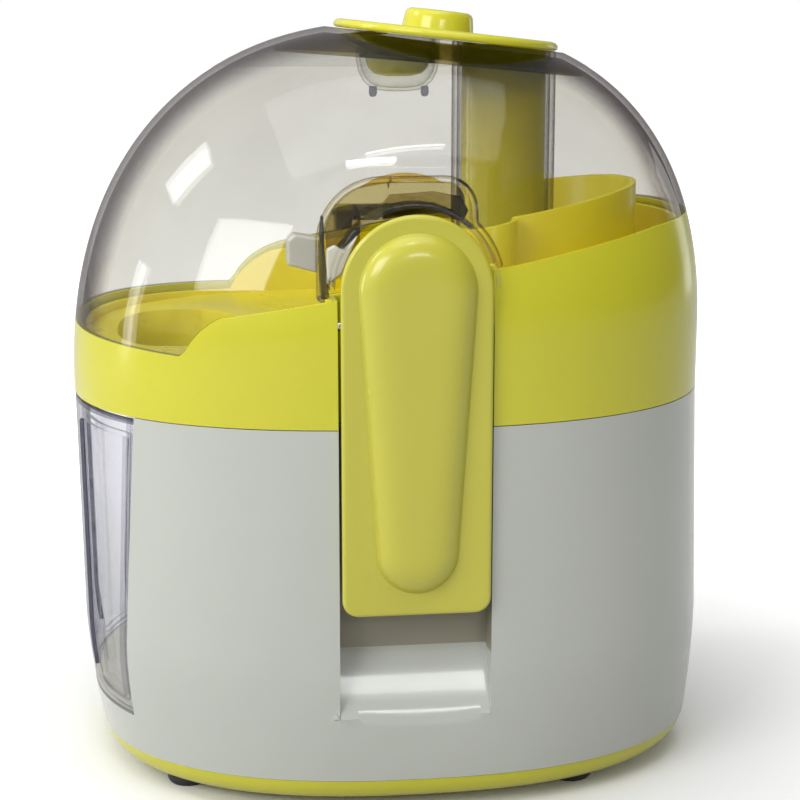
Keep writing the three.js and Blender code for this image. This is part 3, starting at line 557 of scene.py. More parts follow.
def bay_half(z):
    return lerp(BAY_HALF_LOW, BAY_HALF, (z - BAY_FLOOR) / (SEAM - BAY_FLOOR))


def housing_stops(z):
    alcove = alcove_angle(z)
    half = bay_half(z)
    return [
        alcove,
        left_angle(z, half),
        left_angle(z, -half),
        front_angle(z, -CHANNEL_HALF),
        front_angle(z, CHANNEL_HALF),
        TURN - alcove,
        TURN + alcove,
    ]


def scoop_depth(z):
    """Y of the channel's back at height z: it curves in above the scoop's lip."""
    for (z0, y0), (z1, y1) in zip(SCOOP, SCOOP[1:]):
        if z <= z1:
            return lerp(y0, y1, (z - z0) / (z1 - z0))
    return CHANNEL_BACK


def border(ring, counts, index):
    """The columns of one stretch of a ring, both ends included."""
    start = sum(counts[:index])
    picked = range(start, start + counts[index] + 1)
    return [ring[i % len(ring)] for i in picked]


def line_bay(sheet, rows, rings):
    sides = [[], []]
    back = []
    for z, ring in zip(rows, rings):
        if z < BAY_FLOOR:
            continue
        mouth = border(ring, HOUSING_COUNTS, BAY)
        for side, start in zip(sides, (mouth[0], mouth[-1])):
            side.append([(x, start[1], z) for x in spread(start[0], BAY_BACK, 8)])
        stretch = bay_half(z) / bay_half(BAY_FLOOR)
        floor = border(rings[rows.index(BAY_FLOOR)], HOUSING_COUNTS, BAY)
        back.append([(BAY_BACK, y * stretch, z) for _, y, _ in floor])
    sheet.grid(sides[0])
    sheet.grid(sides[1])
    sheet.grid(back)
    mouth = border(rings[rows.index(BAY_FLOOR)], HOUSING_COUNTS, BAY)
    sheet.grid([[(lerp(x, BAY_BACK, s), y, z) for x, y, z in mouth] for s in spread(0, 1, 8)])


def line_channel(sheet, rows, rings, depth_at):
    """The two sides of the latch channel and its back."""
    sides = [[], []]
    back = []
    for z, ring in zip(rows, rings):
        mouth = border(ring, HOUSING_COUNTS, CHANNEL)
        lowest = z == rows[0]
        deep = depth_at(z)
        for side, start in zip(sides, (mouth[0], mouth[-1])):
            end = start[1] if lowest else deep
            side.append([(start[0], y, start[2]) for y in spread(start[1], end, 4)])
        back.append([(x, y if lowest else deep, h) for x, y, h in mouth])
    sheet.grid(sides[0])
    sheet.grid(sides[1])
    sheet.grid(back)


def alcove_curve(x, y, z):
    """The alcove's wall at height z, from the edge of its mouth at x and y round to the other."""
    start = math.atan2(y, x - ALCOVE_X)
    angles = spread(start, -TURN - start, 20)[1:-1]
    return [(ALCOVE_X + ALCOVE_R * math.cos(a), ALCOVE_R * math.sin(a), z) for a in angles]


def line_alcove(sheet, rings, counts, index):
    """The hollow that a glass stands in, from one edge of the opening to the other."""
    rows = []
    for ring in rings:
        mouth = border(ring, counts, index)
        rows.append([mouth[0], *alcove_curve(*mouth[0]), mouth[-1]])
    sheet.grid(rows)


def housing_rows():
    low = [14.3, 16, 18.5, 21.5, 25, BAY_FLOOR, 33, 36.5, SCOOP[0][0]]
    scoop = spread(SCOOP[0][0], SCOOP[-1][0], 8)[1:]
    return low + scoop + spread(SCOOP[-1][0], SEAM, 18)[1:]


def make_housing():
    sheet = Sheet()
    rows = housing_rows()
    rings = [[on_oval(z, t) for t in columns(housing_stops(z), HOUSING_COUNTS)] for z in rows]

    def solid(r, c):
        part = section_index(HOUSING_COUNTS, c)
        open_from = {BAY: BAY_FLOOR, CHANNEL: SCOOP[0][0], ALCOVE: 0.0}
        return part not in open_from or rows[r] < open_from[part]

    sheet.grid(rings, closed=True, keep=solid)
    line_bay(sheet, rows, rings)
    first = rows.index(SCOOP[0][0])
    line_channel(sheet, rows[first:], rings[first:], scoop_depth)
    line_alcove(sheet, rings, HOUSING_COUNTS, ALCOVE)
    nodes = ["motor_housing"]
    shell = add_piece("housing_shell", sheet, "base", WHITE, nodes, 2.6, 0.7)

    def in_recess(x, y, z):
        return z > SCOOP[-1][0] and abs(x) < CHANNEL_HALF + 0.1 and -101 < y < CHANNEL_BACK + 0.1

    # Painted shade: the channel's walls above the scoop take the dark recess colour for the latch's shadow.
    tint_faces(shell, SHADED, in_recess)


# ---------- collar ----------
COLLAR_COUNTS = [74, 12, 90, 12, 20, 14, 56, 16]
COLLAR_CHANNEL = 5


def step_stops():
    """The rim angles of the step's top and foot, at the back and at the front."""
    return [
        step_angle(STEP["to"], math.pi / 2, math.pi),
        step_angle(STEP["from"], math.pi / 2, math.pi),
        step_angle(STEP["from"], math.pi, 1.5 * math.pi),
        step_angle(STEP["to"], math.pi, 1.5 * math.pi),
    ]


STEP_STOPS = step_stops()


def collar_columns(z):
    stops = [
        0.0,
        *STEP_STOPS,
        front_angle(z, -CHANNEL_HALF),
        front_angle(z, CHANNEL_HALF),
        TURN - 0.1,
        TURN,
    ]
    return columns(stops, COLLAR_COUNTS)


def rim_point(angles_at, column, lift=0.0):
    """Where a column of the envelope meets the rim."""
    z = 200.0
    for _ in range(12):
        x, y, _ = on_oval(z, angles_at(z)[column])
        z = rim_height(x, y) + lift
    return z


def make_collar():
    sheet = Sheet()
    count = sum(COLLAR_COUNTS)
    rims = [rim_point(collar_columns, c) for c in range(count)]
    rings = []
    for share in spread(0, 1, 16):
        heights = [lerp(SEAM + GAP, rim, share) for rim in rims]
        rings.append([on_oval(z, collar_columns(z)[c]) for c, z in enumerate(heights)])
    sheet.grid(rings, True, lambda r, c: section_index(COLLAR_COUNTS, c) != COLLAR_CHANNEL)
    sides = [[], []]
    back = []
    for share, ring in zip(spread(0, 1, 16), rings):
        mouth = border(ring, COLLAR_COUNTS, COLLAR_CHANNEL)
        for side, start in zip(sides, (mouth[0], mouth[-1])):
            depth = spread(start[1], CHANNEL_BACK, 4)
            side.append([channel_point(start[0], y, share) for y in depth])
        back.append([channel_point(x, CHANNEL_BACK, share) for x, _, _ in mouth])
    for rows in (*sides, back):
        sheet.grid(rows)
    add_piece("collar_shell", sheet, "base", YELLOW, ["collar"], 2.8, 1.0)


def channel_point(x, y, share):
    return (x, y, lerp(SEAM + GAP, rim_height(x, y), share))


def make_hinge_ears():
    """The two ears behind the rim that carry the lid's pin."""
    y, z = (v / MM for v in hinge_centre())
    for name, x0, root in (("left", -10.0, -7.0), ("right", 30.0, -9.0)):
        outline = [(root, -22), (-3.6, -22), (3.9, -10), (3.9, 2), (1.9, 3.9), (-2.2, 3.9), (-4.7, 1.4)]
        outline += [(-4.7, -11.5), (root, -12)]
        ear = bar([(y + dy, z + dz) for dy, dz in outline], x0, x0 + 8)
        add_piece(f"hinge_ear_{name}", ear, "base", YELLOW, bevel=0.7)


def hinge_centre():
    low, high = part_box("hinge_pin")
    return (low.y + high.y) / 2, (low.z + high.z) / 2


# ---------- dome lid ----------
DOME_COUNTS = [74, 12, 90, 12, 14, 28, 56]
DOME_PATCH = 5
LOW_ROWS = 26
HIGH_ROWS = 14


def dome_columns(z):
    low = min(z, PATCH_TOP)
    drift = 0.3 * clamp((low - 200) / (PATCH_TOP - 200))
    stops = [
        0.0,
        *STEP_STOPS[:2],
        STEP_STOPS[2] - drift,
        STEP_STOPS[3] - drift,
        front_angle(low, -PATCH_HALF),
        front_angle(low, PATCH_HALF),
        TURN,
    ]
    return columns(stops, DOME_COUNTS)


def seat_height(x):
    return SEAT_Z - math.tan(SEAT_TILT) * (x - SEAT_X)


def seat_point(column):
    """Where a column of the dome meets the pusher's seat."""
    z = 285.0
    angle = dome_columns(z)[column]
    for _ in range(30):
        z = lerp(z, seat_height(on_oval(z, angle)[0]), 0.6)
    return z


def dome_rings():
    count = sum(DOME_COUNTS)
    rims = [rim_point(dome_columns, c, GAP) for c in range(count)]
    seats = [seat_point(c) for c in range(count)]
    rings = []
    for share in spread(0, 1, LOW_ROWS):
        heights = [lerp(rim, PATCH_TOP, share) for rim in rims]
        rings.append([on_oval(z, dome_columns(z)[c]) for c, z in enumerate(heights)])
    for share in spread(0, 1, HIGH_ROWS)[1:]:
        eased = math.sin(share * math.pi / 2)
        heights = [lerp(PATCH_TOP, seat, eased) for seat in seats]
        rings.append([on_oval(z, dome_columns(z)[c]) for c, z in enumerate(heights)])
    return rings


def arc(x, z, radius, start, end, count=16):
    """X and Z along part of a circle."""
    angles = spread(start, end, count)
    return [(x + radius * math.cos(a), z + radius * math.sin(a)) for a in angles]


def even_steps(path, count):
    """count + 1 points evenly spaced along a path of X and Z."""
    lengths = [0.0]
    for start, end in zip(path, path[1:]):
        lengths.append(lengths[-1] + math.dist(start, end))
    points = []
    index = 0
    for distance in spread(0, lengths[-1], count):
        while index < len(path) - 2 and lengths[index + 1] < distance:
            index += 1
        span = lengths[index + 1] - lengths[index]
        share = clamp((distance - lengths[index]) / span)
        (x0, z0), (x1, z1) = path[index], path[index + 1]
        points.append((lerp(x0, x1, share), lerp(z0, z1, share)))
    return points


def niche_outline(left_rim, right_rim):
    """X and Z up the niche's left side, over its top and down round the latch's head."""
    left = arc(NICHE_CORNER - NICHE_HALF, NICHE_TOP - NICHE_CORNER, NICHE_CORNER, math.pi, math.pi / 2)
    right = arc(12.5, NICHE_TOP - 9, 9, math.pi / 2, 0, 8)
    shoulder = math.acos(21.5 / ARCH_R)
    foot = math.asin((right_rim - ARCH_Z) / ARCH_R)
    round_head = arc(0, ARCH_Z, ARCH_R, shoulder, foot)
    path = [(-NICHE_HALF, left_rim), *left, *right, *round_head]
    return even_steps(path, 2 * LOW_ROWS + DOME_COUNTS[DOME_PATCH])


def add_niche(sheet, rings):
    """The dome's front patch with the niche for the latch's head let into it."""
    start = sum(DOME_COUNTS[:DOME_PATCH])
    end = start + DOME_COUNTS[DOME_PATCH]
    left = [ring[start] for ring in rings[: LOW_ROWS + 1]]
    right = [ring[end] for ring in rings[: LOW_ROWS + 1]]
    top = rings[LOW_ROWS][start + 1 : end]
    outer = left + top + right[::-1]
    rims = [rim_height(x, -100) + GAP for x in (-NICHE_HALF, ARCH_R)]
    inner = niche_outline(*rims)
    rows = [[(x, front_depth(x, z), z) for x, z in inner]]
    for share in spread(0, 1, 6)[1:-1]:
        row = []
        for (x, z), far in zip(inner, outer):
            px, pz = lerp(x, far[0], share), lerp(z, far[2], share)
            row.append((px, front_depth(px, pz), pz))
        rows.append(row)
    rows.append(outer)
    sheet.grid(rows)
    mouth = rows[0]
    sheet.grid([[(x, lerp(y, NICHE_BACK, s), z) for x, y, z in mouth] for s in spread(0, 1, 4)])
    half = len(inner) // 2
    back = []
    for i in range(half + 1):
        (x0, z0), (x1, z1) = inner[i], inner[-1 - i]
        back.append([(lerp(x0, x1, s), NICHE_BACK, lerp(z0, z1, s)) for s in spread(0, 1, 10)])
    sheet.grid(back)


def seat_plate(sheet, ring):
    """The flat seat from the dome's top edge in to the tube and the key cup."""
    holes = [
        [(x, y, seat_height(x)) for x, y, _ in circle(TUBE_X, TUBE_Y, 0, TUBE_R - 2.2)],
        [(x, y, seat_height(x)) for x, y, _ in circle(KEY_X, 0, 0, 15.0)],
    ]
    work = bmesh.new()
    edges = []
    for loop in (ring, *holes):
        verts = [work.verts.new(p) for p in loop]
        edges += [work.edges.new((a, b)) for a, b in zip(verts, verts[1:] + verts[:1])]
    bmesh.ops.triangle_fill(work, use_beauty=True, use_dissolve=False, edges=edges)
    work.verts.index_update()
    start = len(sheet.points)
    sheet.points.extend(tuple(v.co) for v in work.verts)
    sheet.faces.extend(tuple(start + v.index for v in face.verts) for face in work.faces)
    work.free()


def make_dome():
    sheet = Sheet()
    rings = dome_rings()

    def kept(r, c):
        return r >= LOW_ROWS or section_index(DOME_COUNTS, c) != DOME_PATCH

    sheet.grid(rings, closed=True, keep=kept)
    add_niche(sheet, rings)
    seat_plate(sheet, rings[-1])
    shell = add_piece("dome_shell", sheet, "lid", CLEAR, ["lid_dome"], 2.4, 0.6)
    # Painted shade: the niche's side walls and back take the olive tint for the shaded yellow behind them.
    tint_faces(shell, OLIVE_SHADE, in_niche)


def in_niche(x, y, z):
    """True for a point on the niche's side walls or back."""
    return abs(x) < 36 and z > 200 and front_depth(x, z) + 0.5 < y < NICHE_BACK + 0.5


def make_flange_shade():
    """A brown-tinted band inside the dome, just under the pusher's seat: painted shade for the dark band
    under the pusher's flange.
    """
    count = sum(DOME_COUNTS)
    seats = [seat_point(c) for c in range(count)]
    rows = []
    for drop, inset in ((1.2, 3.2), (3.5, 3.4), (6.0, 3.2), (8.0, 2.9)):
        heights = [seat - drop for seat in seats]
        rows.append([on_oval(z, dome_columns(z)[c], inset) for c, z in enumerate(heights)])
    sheet = Sheet().grid(rows, closed=True)
    add_piece("flange_shade_band", sheet, "lid", BROWN_SHADE, (), 1.6, 0.3)


def make_feed_tube():
    sheet = Sheet()
    top = [(x, y, seat_height(x)) for x, y, _ in circle(TUBE_X, TUBE_Y, 0, TUBE_R - 2.3, 64)]
    bottom = circle(TUBE_X, TUBE_Y, 176.0, TUBE_R - 2.3, 64)
    sheet.grid([bottom, *[mix_ring(bottom, top, s) for s in spread(0, 1, 12)[1:-1]], top], closed=True)
    tube = add_piece("feed_tube", sheet, "lid", CLEAR, (), 2.2, 0.5)
    tube.modifiers["wall"].offset = 1


def mix_ring(a, b, share):
    return [tuple(lerp(p, q, share) for p, q in zip(u, v)) for u, v in zip(a, b)]


def make_key_cup():
    """The cup that hangs under the seat and takes the pusher's key."""
    sheet = Sheet()
    top = [(x, y, seat_height(x)) for x, y, _ in circle(KEY_X, 0, 0, 17.0)]
    profile = [(16.8, 281.0), (15.9, 276.6), (14.2, 273.2), (11.6, 270.6), (8.4, 269.3), (5.0, 268.9)]
    rings = [top, *turned(KEY_X, 0, profile, 48)]
    sheet.grid(rings, closed=True)
    sheet.patch(rings[-1])
    add_piece("key_cup", sheet, "lid", CLEAR_RIM, (), 1.4, 0.4)
    profile = [(1.5, 271), (1.7, 268.4), (1.3, 267.2), (0.5, 266.8)]
    for name, x in (("left", KEY_X - 10.5), ("right", KEY_X + 10.5)):
        nub = Sheet().loft(turned(x, -4.0, profile, 20))
        add_piece(f"key_nub_{name}", nub, "lid", DARK_EDGE, bevel=0.2)


def arch(half, centre, foot, count=40):
    """X and Z of an arch: up one side, over the top and down the other."""
    over = [(-half * math.cos(a), centre + half * math.sin(a)) for a in spread(0, math.pi, count)]
    return [(-half, foot), *over, (half, foot)]


def make_niche_frame():
    """The raised arch on the lid that the latch's head sits in."""
    sheet = Sheet()
    inner = arch(LATCH_HALF + 1.5, ARCH_Z, 207.0)
    outer = arch(LATCH_HALF + 3.4, ARCH_Z, 207.0)
    rows = []
    for ring, y in ((inner, -87.5), (inner, -100.0), (outer, -100.0), (outer, -87.5)):
        rows.append([(x, y, z) for x, z in ring])
    sheet.grid([*rows, rows[0]])
    sheet.patch([row[0] for row in rows])
    sheet.patch([row[-1] for row in rows])
    add_piece("niche_frame", sheet, "lid", CLEAR_RIM, bevel=0.5)


def niche_lip():
    """A crescent over the niche's top: an arc above, a flatter curve below."""
    top = arc(-2, 214.5, 29.0, 0.70 * math.pi, 0.33 * math.pi)
    (x0, z0), (x1, z1) = top[-1], top[0]
    below = [(lerp(x0, x1, s), lerp(z0, z1, s) + 1.6 * math.sin(math.pi * s)) for s in spread(0, 1, 12)]
    return top + below[1:-1]


def niche_shade_patch():
    """The brownish patch on the niche's back, round at its upper corners: painted shade for the shaded
    yellow inside, seen through the back.
    """
    left = arc(-11.2, 218.3, 22.0, math.pi, math.pi / 2)
    right = arc(12.5, 232.9, 7.4, math.pi / 2, 0)
    return [*left, *right, (14, 222), (-30, 204)]


def make_niche_details():
    """The moulded lugs and tongue round the niche, with its lip, its ribs and the patch on its back: their
    amber, brown and olive tints are painted refraction and shade of the yellow inside, seen through the
    niche.
    """
    left_rib = [(-30.5, 210), (-31.5, 224), (-29, 231), (-21, 233), (-18.5, 229), (-19.0, 218), (-25, 209)]
    right_rib = [(-10.5, 227), (-11.5, 232), (-8, 236), (8, 237), (18, 235), (21, 230), (19, 226), (4, 229)]
    lug = [(-45.5, 211), (-45.5, 220.5), (-43, 222.5), (-34.5, 221), (-34.5, 208)]
    web = [(-31.5, 204), (-31.5, 217), (-28.5, 218.5), (-25.5, 216.5), (-23.0, 219), (-20, 222), (-26, 208)]
    edge = [(-33.6, 199), (-34.4, 216), (-33.4, 229), (-32.6, 229), (-32.2, 216), (-30.6, 199)]
    details = (
        # The lip's amber, the back patch's olive and the ribs' brown are painted refraction and shade.
        ("niche_lip", niche_lip(), -84.3, -82.6, AMBER_REFRACTION, 0.3),
        ("niche_shade_patch", niche_shade_patch(), -85.6, -84.6, OLIVE_SHADE, 0.3),
        ("niche_rib_left", left_rib, -87.4, -86.2, BROWN_SHADE, 0.4),
        ("niche_rib_right", right_rib, -87.4, -86.2, BROWN_SHADE, 0.4),
        ("niche_lug", lug, -89.0, -80.0, PALE_PLASTIC, 1.2),
        ("niche_web", web, -92.0, -88.5, PALE_PLASTIC, 0.8),
        ("niche_edge", edge, -92.5, -88.0, DARK_EDGE, 0.3),
    )
    for name, outline, front, back, material, bevel in details:
        add_piece(name, slab(outline, front, back), "lid", material, bevel=bevel)
    tongue = bar(tongue_outline(), -12.0, 12.0)
    add_piece("lid_tongue", tongue, "lid", CLEAR, bevel=0.4)


def tongue_outline():
    """Y and Z of the tongue that hangs into the channel, with a lip for the latch's tooth."""
    return [(-88.8, 168), (-92.2, 168), (-92.2, 171), (-91.2, 172.5), (-91.2, 214), (-88.8, 214)]


def make_lid_knuckle():
    """The lid's hinge barrel and the arm that joins it to the dome."""
    y, z = (v / MM for v in hinge_centre())
    low, high = (v.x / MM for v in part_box("hinge_pin"))
    x0, x1 = low + 9.5, high - 9.5
    ring = [(math.cos(TURN * i / 24), math.sin(TURN * i / 24)) for i in range(24)]
    walls = ((x0, 2.1), (x0, 3.9), (x1, 3.9), (x1, 2.1))
    rings = [[(x, y + r * c, z + r * s) for c, s in ring] for x, r in walls]
    sheet = Sheet().grid([*rings, rings[0]], closed=True)
    add_piece("lid_knuckle", sheet, "lid", CLEAR, bevel=0.3)
    outline = [(97.8, z + 2.3), (y - 3.0, z + 2.3), (y - 1.0, z + 3.9), (97.8, z + 3.9)]
    arm = bar(outline, x0, x1)
    add_piece("lid_hinge_arm", arm, "lid", CLEAR, bevel=0.4)


# ---------- pusher ----------
SEAT = Matrix.Translation((SEAT_X, 0, SEAT_Z)) @ Matrix.Rotation(SEAT_TILT, 4, "Y")


def on_seat(rings, x=0.0):
    """Rings made round the seat's own axis, moved onto the tilted seat."""
    return [[tuple(SEAT @ Vector((px + x, py, pz))) for px, py, pz in ring] for ring in rings]


def make_pusher():
    flange = [(12, 0.35), (44.2, 0.35), (45.2, 0.8), (45.5, 1.6), (45.3, 2.5), (44.4, 3.4), (42.6, 3.8)]
    flange += [(40, 3.7), (37.8, 3.2), (36, 3.0), (20, 3.1), (12, 3.2)]
    sheet = Sheet().loft(on_seat(turned(0, 0, flange, 128)))
    add_piece("pusher_flange", sheet, "pusher", YELLOW, ["pusher_cap"])
    knob = [(14.6, 2.4), (14.4, 4.0), (14.0, 7.2), (13.6, 9.4), (12.8, 10.6), (11.4, 11.2)]
    knob += [(8.6, 11.3), (7.6, 10.9), (6.9, 10.0), (5.5, 9.8), (0.6, 9.8)]
    sheet = Sheet().loft(on_seat(turned(0, 0, knob, 64), -3.5))
    add_piece("pusher_knob", sheet, "pusher", YELLOW)
    key = [(6.0, 275.0), (9.5, 275.8), (11.8, 277.8), (13.0, 281.0), (13.4, 288.0)]
    add_piece("pusher_key", Sheet().loft(turned(KEY_X, 0, key, 48)), "pusher", YELLOW)
    plug = [(14.9, 276.0), (14.9, 287.0)]
    sheet = Sheet().loft(turned(TUBE_X, TUBE_Y, plug, 48))
    add_piece("pusher_spigot", sheet, "pusher", YELLOW, bevel=0.4)
    stem = [(0.6, 187), (14.6, 187), (16.6, 187.5), (17.3, 189)]
    stem += [(17.3, z) for z in (205, 225, 245, 265)]
    rings = turned(TUBE_X, TUBE_Y, stem, 64)
    rings.append([(x, y, seat_height(x) - 0.2) for x, y, _ in circle(TUBE_X, TUBE_Y, 0, 17.3, 64)])
    rings.append([(x, y, seat_height(x) - 0.2) for x, y, _ in circle(TUBE_X, TUBE_Y, 0, 15.4, 64)])
    rings += turned(TUBE_X, TUBE_Y, [(15.3, 265), (15.3, 192), (14, 190), (0.6, 189.6)], 64)
    sheet = Sheet().loft(rings)
    # The barrel inside the dome takes the brighter copy of the yellow: painted light.
    add_piece("pusher_barrel", sheet, "pusher", PAINTED_LIGHT_YELLOW, ["pusher_stem"])


# ---------- latch ----------
GRIP_HEAD_Z = 202.5
GRIP_FOOT_Z = 106


def latch_outline(inset):
    """The plate's outline: round head, straight sides, small corners at the foot."""
    half = LATCH_HALF - inset
    corner = 6.0 - min(inset, 4.0)
    foot = LATCH_BOTTOM + inset
    head = arc(0, ARCH_Z, half, 0, math.pi, 48)
    left = [(-half, z) for z in spread(ARCH_Z, foot + corner, 16)[1:]]
    left_corner = arc(corner - half, foot + corner, corner, math.pi, 1.5 * math.pi, 6)[1:]
    right_corner = [(-x, z) for x, z in reversed(left_corner)]
    right = [(half, z) for z in spread(foot + corner, ARCH_Z, 16)[:-1]]
    return head + left + left_corner + right_corner + right


def capsule(inset, count=48):
    """The grip's outline: a wide round head tapering to a narrow round foot."""
    head, foot = 21.4 - inset, 15.0 - inset
    top = arc(0, GRIP_HEAD_Z, head, 0, math.pi, count)
    low = arc(0, GRIP_FOOT_Z, foot, math.pi, TURN, count)
    left = [(lerp(-head, -foot, s), lerp(GRIP_HEAD_Z, GRIP_FOOT_Z, s)) for s in spread(0, 1, 24)[1:-1]]
    right = [(-x, z) for x, z in reversed(left)]
    return top + left + low + right


def make_latch():
    rings = []
    front, back = LATCH_FACE, LATCH_FACE + 3.5
    for inset, y in ((1.0, back), (0.25, back - 0.3), (0.0, back - 1.0)):
        rings.append([(x, y, z) for x, z in latch_outline(inset)])
    for angle in spread(0, math.pi / 2, 5):
        inset, out = 1.4 * (1 - math.cos(angle)), 1.4 * math.sin(angle)
        rings.append([(x, front + 1.4 - out, z) for x, z in latch_outline(inset)])
    rings.append([(x, front, z) for x, z in latch_outline(3.0)])
    sheet = Sheet().loft(rings)
    add_piece("latch_plate", sheet, "latch", LATCH_YELLOW, ["front_latch"])
    profile = [(-0.6, 0.0), (0.0, 0.4), (0.5, 1.3), (1.2, 2.3), (2.2, 3.3), (3.6, 4.3), (5.4, 5.1)]
    profile += [(7.6, 5.7), (10.2, 6.0), (12.6, 6.1), (14.2, 6.12)]
    rings = [[(x, front + 0.2 - out, z) for x, z in capsule(inset)] for inset, out in profile]
    add_piece("latch_grip", Sheet().loft(rings), "latch", LATCH_YELLOW)
    outline = [(-102.5, 178), (-95.5, 184), (-94, 190), (-95.5, 195), (-102.5, 201)]
    for name, x0 in (("left", -20.0), ("right", 16.0)):
        ear = bar(outline, x0, x0 + 4)
        add_piece(f"latch_ear_{name}", ear, "latch", LATCH_YELLOW, bevel=0.5)
    tooth = bar([(-102.5, 172), (-95.4, 173.5), (-95.4, 176), (-102.5, 180)], -10.0, 10.0)
    add_piece("latch_tooth", tooth, "latch", LATCH_YELLOW, bevel=0.4)
    rib = slab([(-3.0, 112), (3.0, 112), (3.0, 120), (-3.0, 120)], -102.5, -94.0)
    add_piece("latch_rib", rib, "latch", LATCH_YELLOW, bevel=0.5)


# ---------- pulp container ----------
PANEL_FOOT = 36.0
PANEL_TOP = 144.0
PANEL_DEPTH = 3.4


def container_wall(y, z):
    """X of the container's outer wall before the grip is let in."""
    centre, a, b, power = oval(z, GAP)
    return centre - a * (1 - clamp(abs(y) / b) ** power) ** (1 / power)


def container_front(y, z):
    """X of the container's front: a proud grip band with a sunk panel on each side."""
    beside = min(abs(y) - GRIP_HALF, bay_half(z) - 5 - abs(y))
    inside = min(beside, z - PANEL_FOOT, PANEL_TOP - z)
    return container_wall(y, z) + PANEL_DEPTH * clamp(inside / 1.2)


def make_container():
    sheet = Sheet()
    rows = [BAY_FLOOR + FLOOR_PLAY, 31.6, 33.4, 35, *spread(35.8, 37.4, 4), *spread(40, 140, 28)]
    rows += [*spread(142.4, 144.4, 4), 147, 149.2, CONTAINER_TOP]
    shares = [*spread(-1, -0.94, 4), *spread(-0.935, -0.88, 6), *spread(-0.85, -0.48, 12)]
    shares += [*spread(-0.47, -0.38, 9), *spread(-0.36, 0, 8)]
    shares += [-s for s in reversed(shares[:-1])]
    front = []
    for z in rows:
        half = bay_half(z) - 0.5
        front.append([(container_front(s * half, z), s * half, z) for s in shares])
    sheet.grid(front)
    back_x = BAY_BACK - BACK_PLAY
    for column in (0, -1):
        side = []
        for row in front:
            x0, y, z = row[column]
            side.append([(x, y, z) for x in spread(x0, back_x, 10)])
        sheet.grid(side)
    sheet.grid([[(back_x, y, z) for _, y, z in row] for row in front])
    sheet.grid([[(lerp(x, back_x, s), y, z) for x, y, z in front[0]] for s in spread(0, 1, 10)])
    nodes = ["pulp_container"]
    shell = add_piece("container_shell", sheet, "container", SMOKE, nodes, 2.2, 0.6)
    # Painted shadow: faces at the container end along its top rim and its foot take the dark tint; along
    # the rim it is the shadow of the gap under the collar.
    tint_faces(shell, DARK_EDGE, lambda x, y, z: x < -60 and not BAY_FLOOR + 1.5 < z < 148.5)
    # Painted light: the container's floor takes pale opaque plastic in place of the clear smoke, so that it
    # looks lit and pale.
    tint_faces(shell, PALE_PLASTIC, lambda x, y, z: -119 < x < BAY_BACK - 3 and z < BAY_FLOOR + 0.5)
    for side in (-1, 1):
        name = "front" if side < 0 else "rear"
        rib = container_rib(side)
        add_piece(f"container_rib_{name}", rib, "container", DARK_EDGE, bevel=0.4)


def container_rib(side):
    """The dark edge of the grip band, a bar that follows the wall and rounds off below; its dark tint is
    painted shade for how the bar looks seen edge-on.
    """
    rings = []
    for z in spread(PANEL_FOOT + 5, PANEL_TOP - 1, 26):
        wide = 1.3 * math.sqrt(clamp((z - PANEL_FOOT - 4) / 3))
        out = container_wall(GRIP_HALF, z)
        y = side * (GRIP_HALF + 0.6)
        corners = ((out - 0.2, -wide), (out + 1.5, -wide), (out + 1.5, wide), (out - 0.2, wide))
        rings.append([(x, y + dy, z) for x, dy in corners])
    return Sheet().loft(rings)


# ---------- base pan ----------
DISH_COUNTS = [200, 16]  # columns round the skirt and across the alcove's mouth


def dish_point(angle, inset):
    """X and Y on the dish's outline, drawn in from the oval that it meets under the housing."""
    x, a, b, power = oval(BASE_SEAM)
    return (
        x + (a - inset) * signed_power(math.cos(angle), 2 / power),
        (b - inset) * signed_power(math.sin(angle), 2 / power),
    )


def dish_ring(inset, z):
    def outside(angle):
        x, y = dish_point(angle, inset)
        return math.hypot(x - ALCOVE_X, y) - ALCOVE_R

    edge = crossing(outside, 0, math.pi / 4)
    angles = columns([edge, TURN - edge, TURN + edge], DISH_COUNTS)
    return [(*dish_point(angle, inset), z) for angle in angles]


def make_base_pan():
    """The dish under the housing: a rounded skirt, cut away at the glass alcove."""
    profile = [(11.0, 4.0), (9.2, 4.3), (7.2, 4.9), (5.4, 5.7), (3.8, 6.9), (2.6, 8.3), (1.5, 10.1)]
    profile += [(0.8, 12.0), (0.45, BASE_SEAM)]
    rings = [dish_ring(inset, z) for inset, z in profile]
    sheet = Sheet()
    sheet.grid(rings, True, lambda r, c: section_index(DISH_COUNTS, c) == 0)
    line_alcove(sheet, rings, DISH_COUNTS, 1)
    floor = border(rings[0], DISH_COUNTS, 0)
    sheet.patch(floor + alcove_curve(*floor[-1]))
    add_piece("base_dish", sheet, "base", YELLOW, ["base_pan"], 2.0, 0.5)


# ---------- carried-over CAD nodes ----------
def dress_nodes():
    """Gives every CAD node that still shows its material and soft edges."""
    slots = {part["node"]: part["material_slot"] for part in frame["record"]["subparts"]}
    for name, node in frame["nodes"].items():
        if node.hide_render:
            continue
        # The collector inside the dome takes the brighter copy of the yellow: painted light.
        material = PAINTED_LIGHT_YELLOW if name == "collector" else BY_SLOT[slots[name]]
        node.data.materials.clear()
        node.data.materials.append(material)
        for face in node.data.polygons:
            face.use_smooth = True
        weld = node.modifiers.new("weld", "WELD")
        weld.merge_threshold = 1e-5
        add_modifiers(node, 0, 0.3, 30)


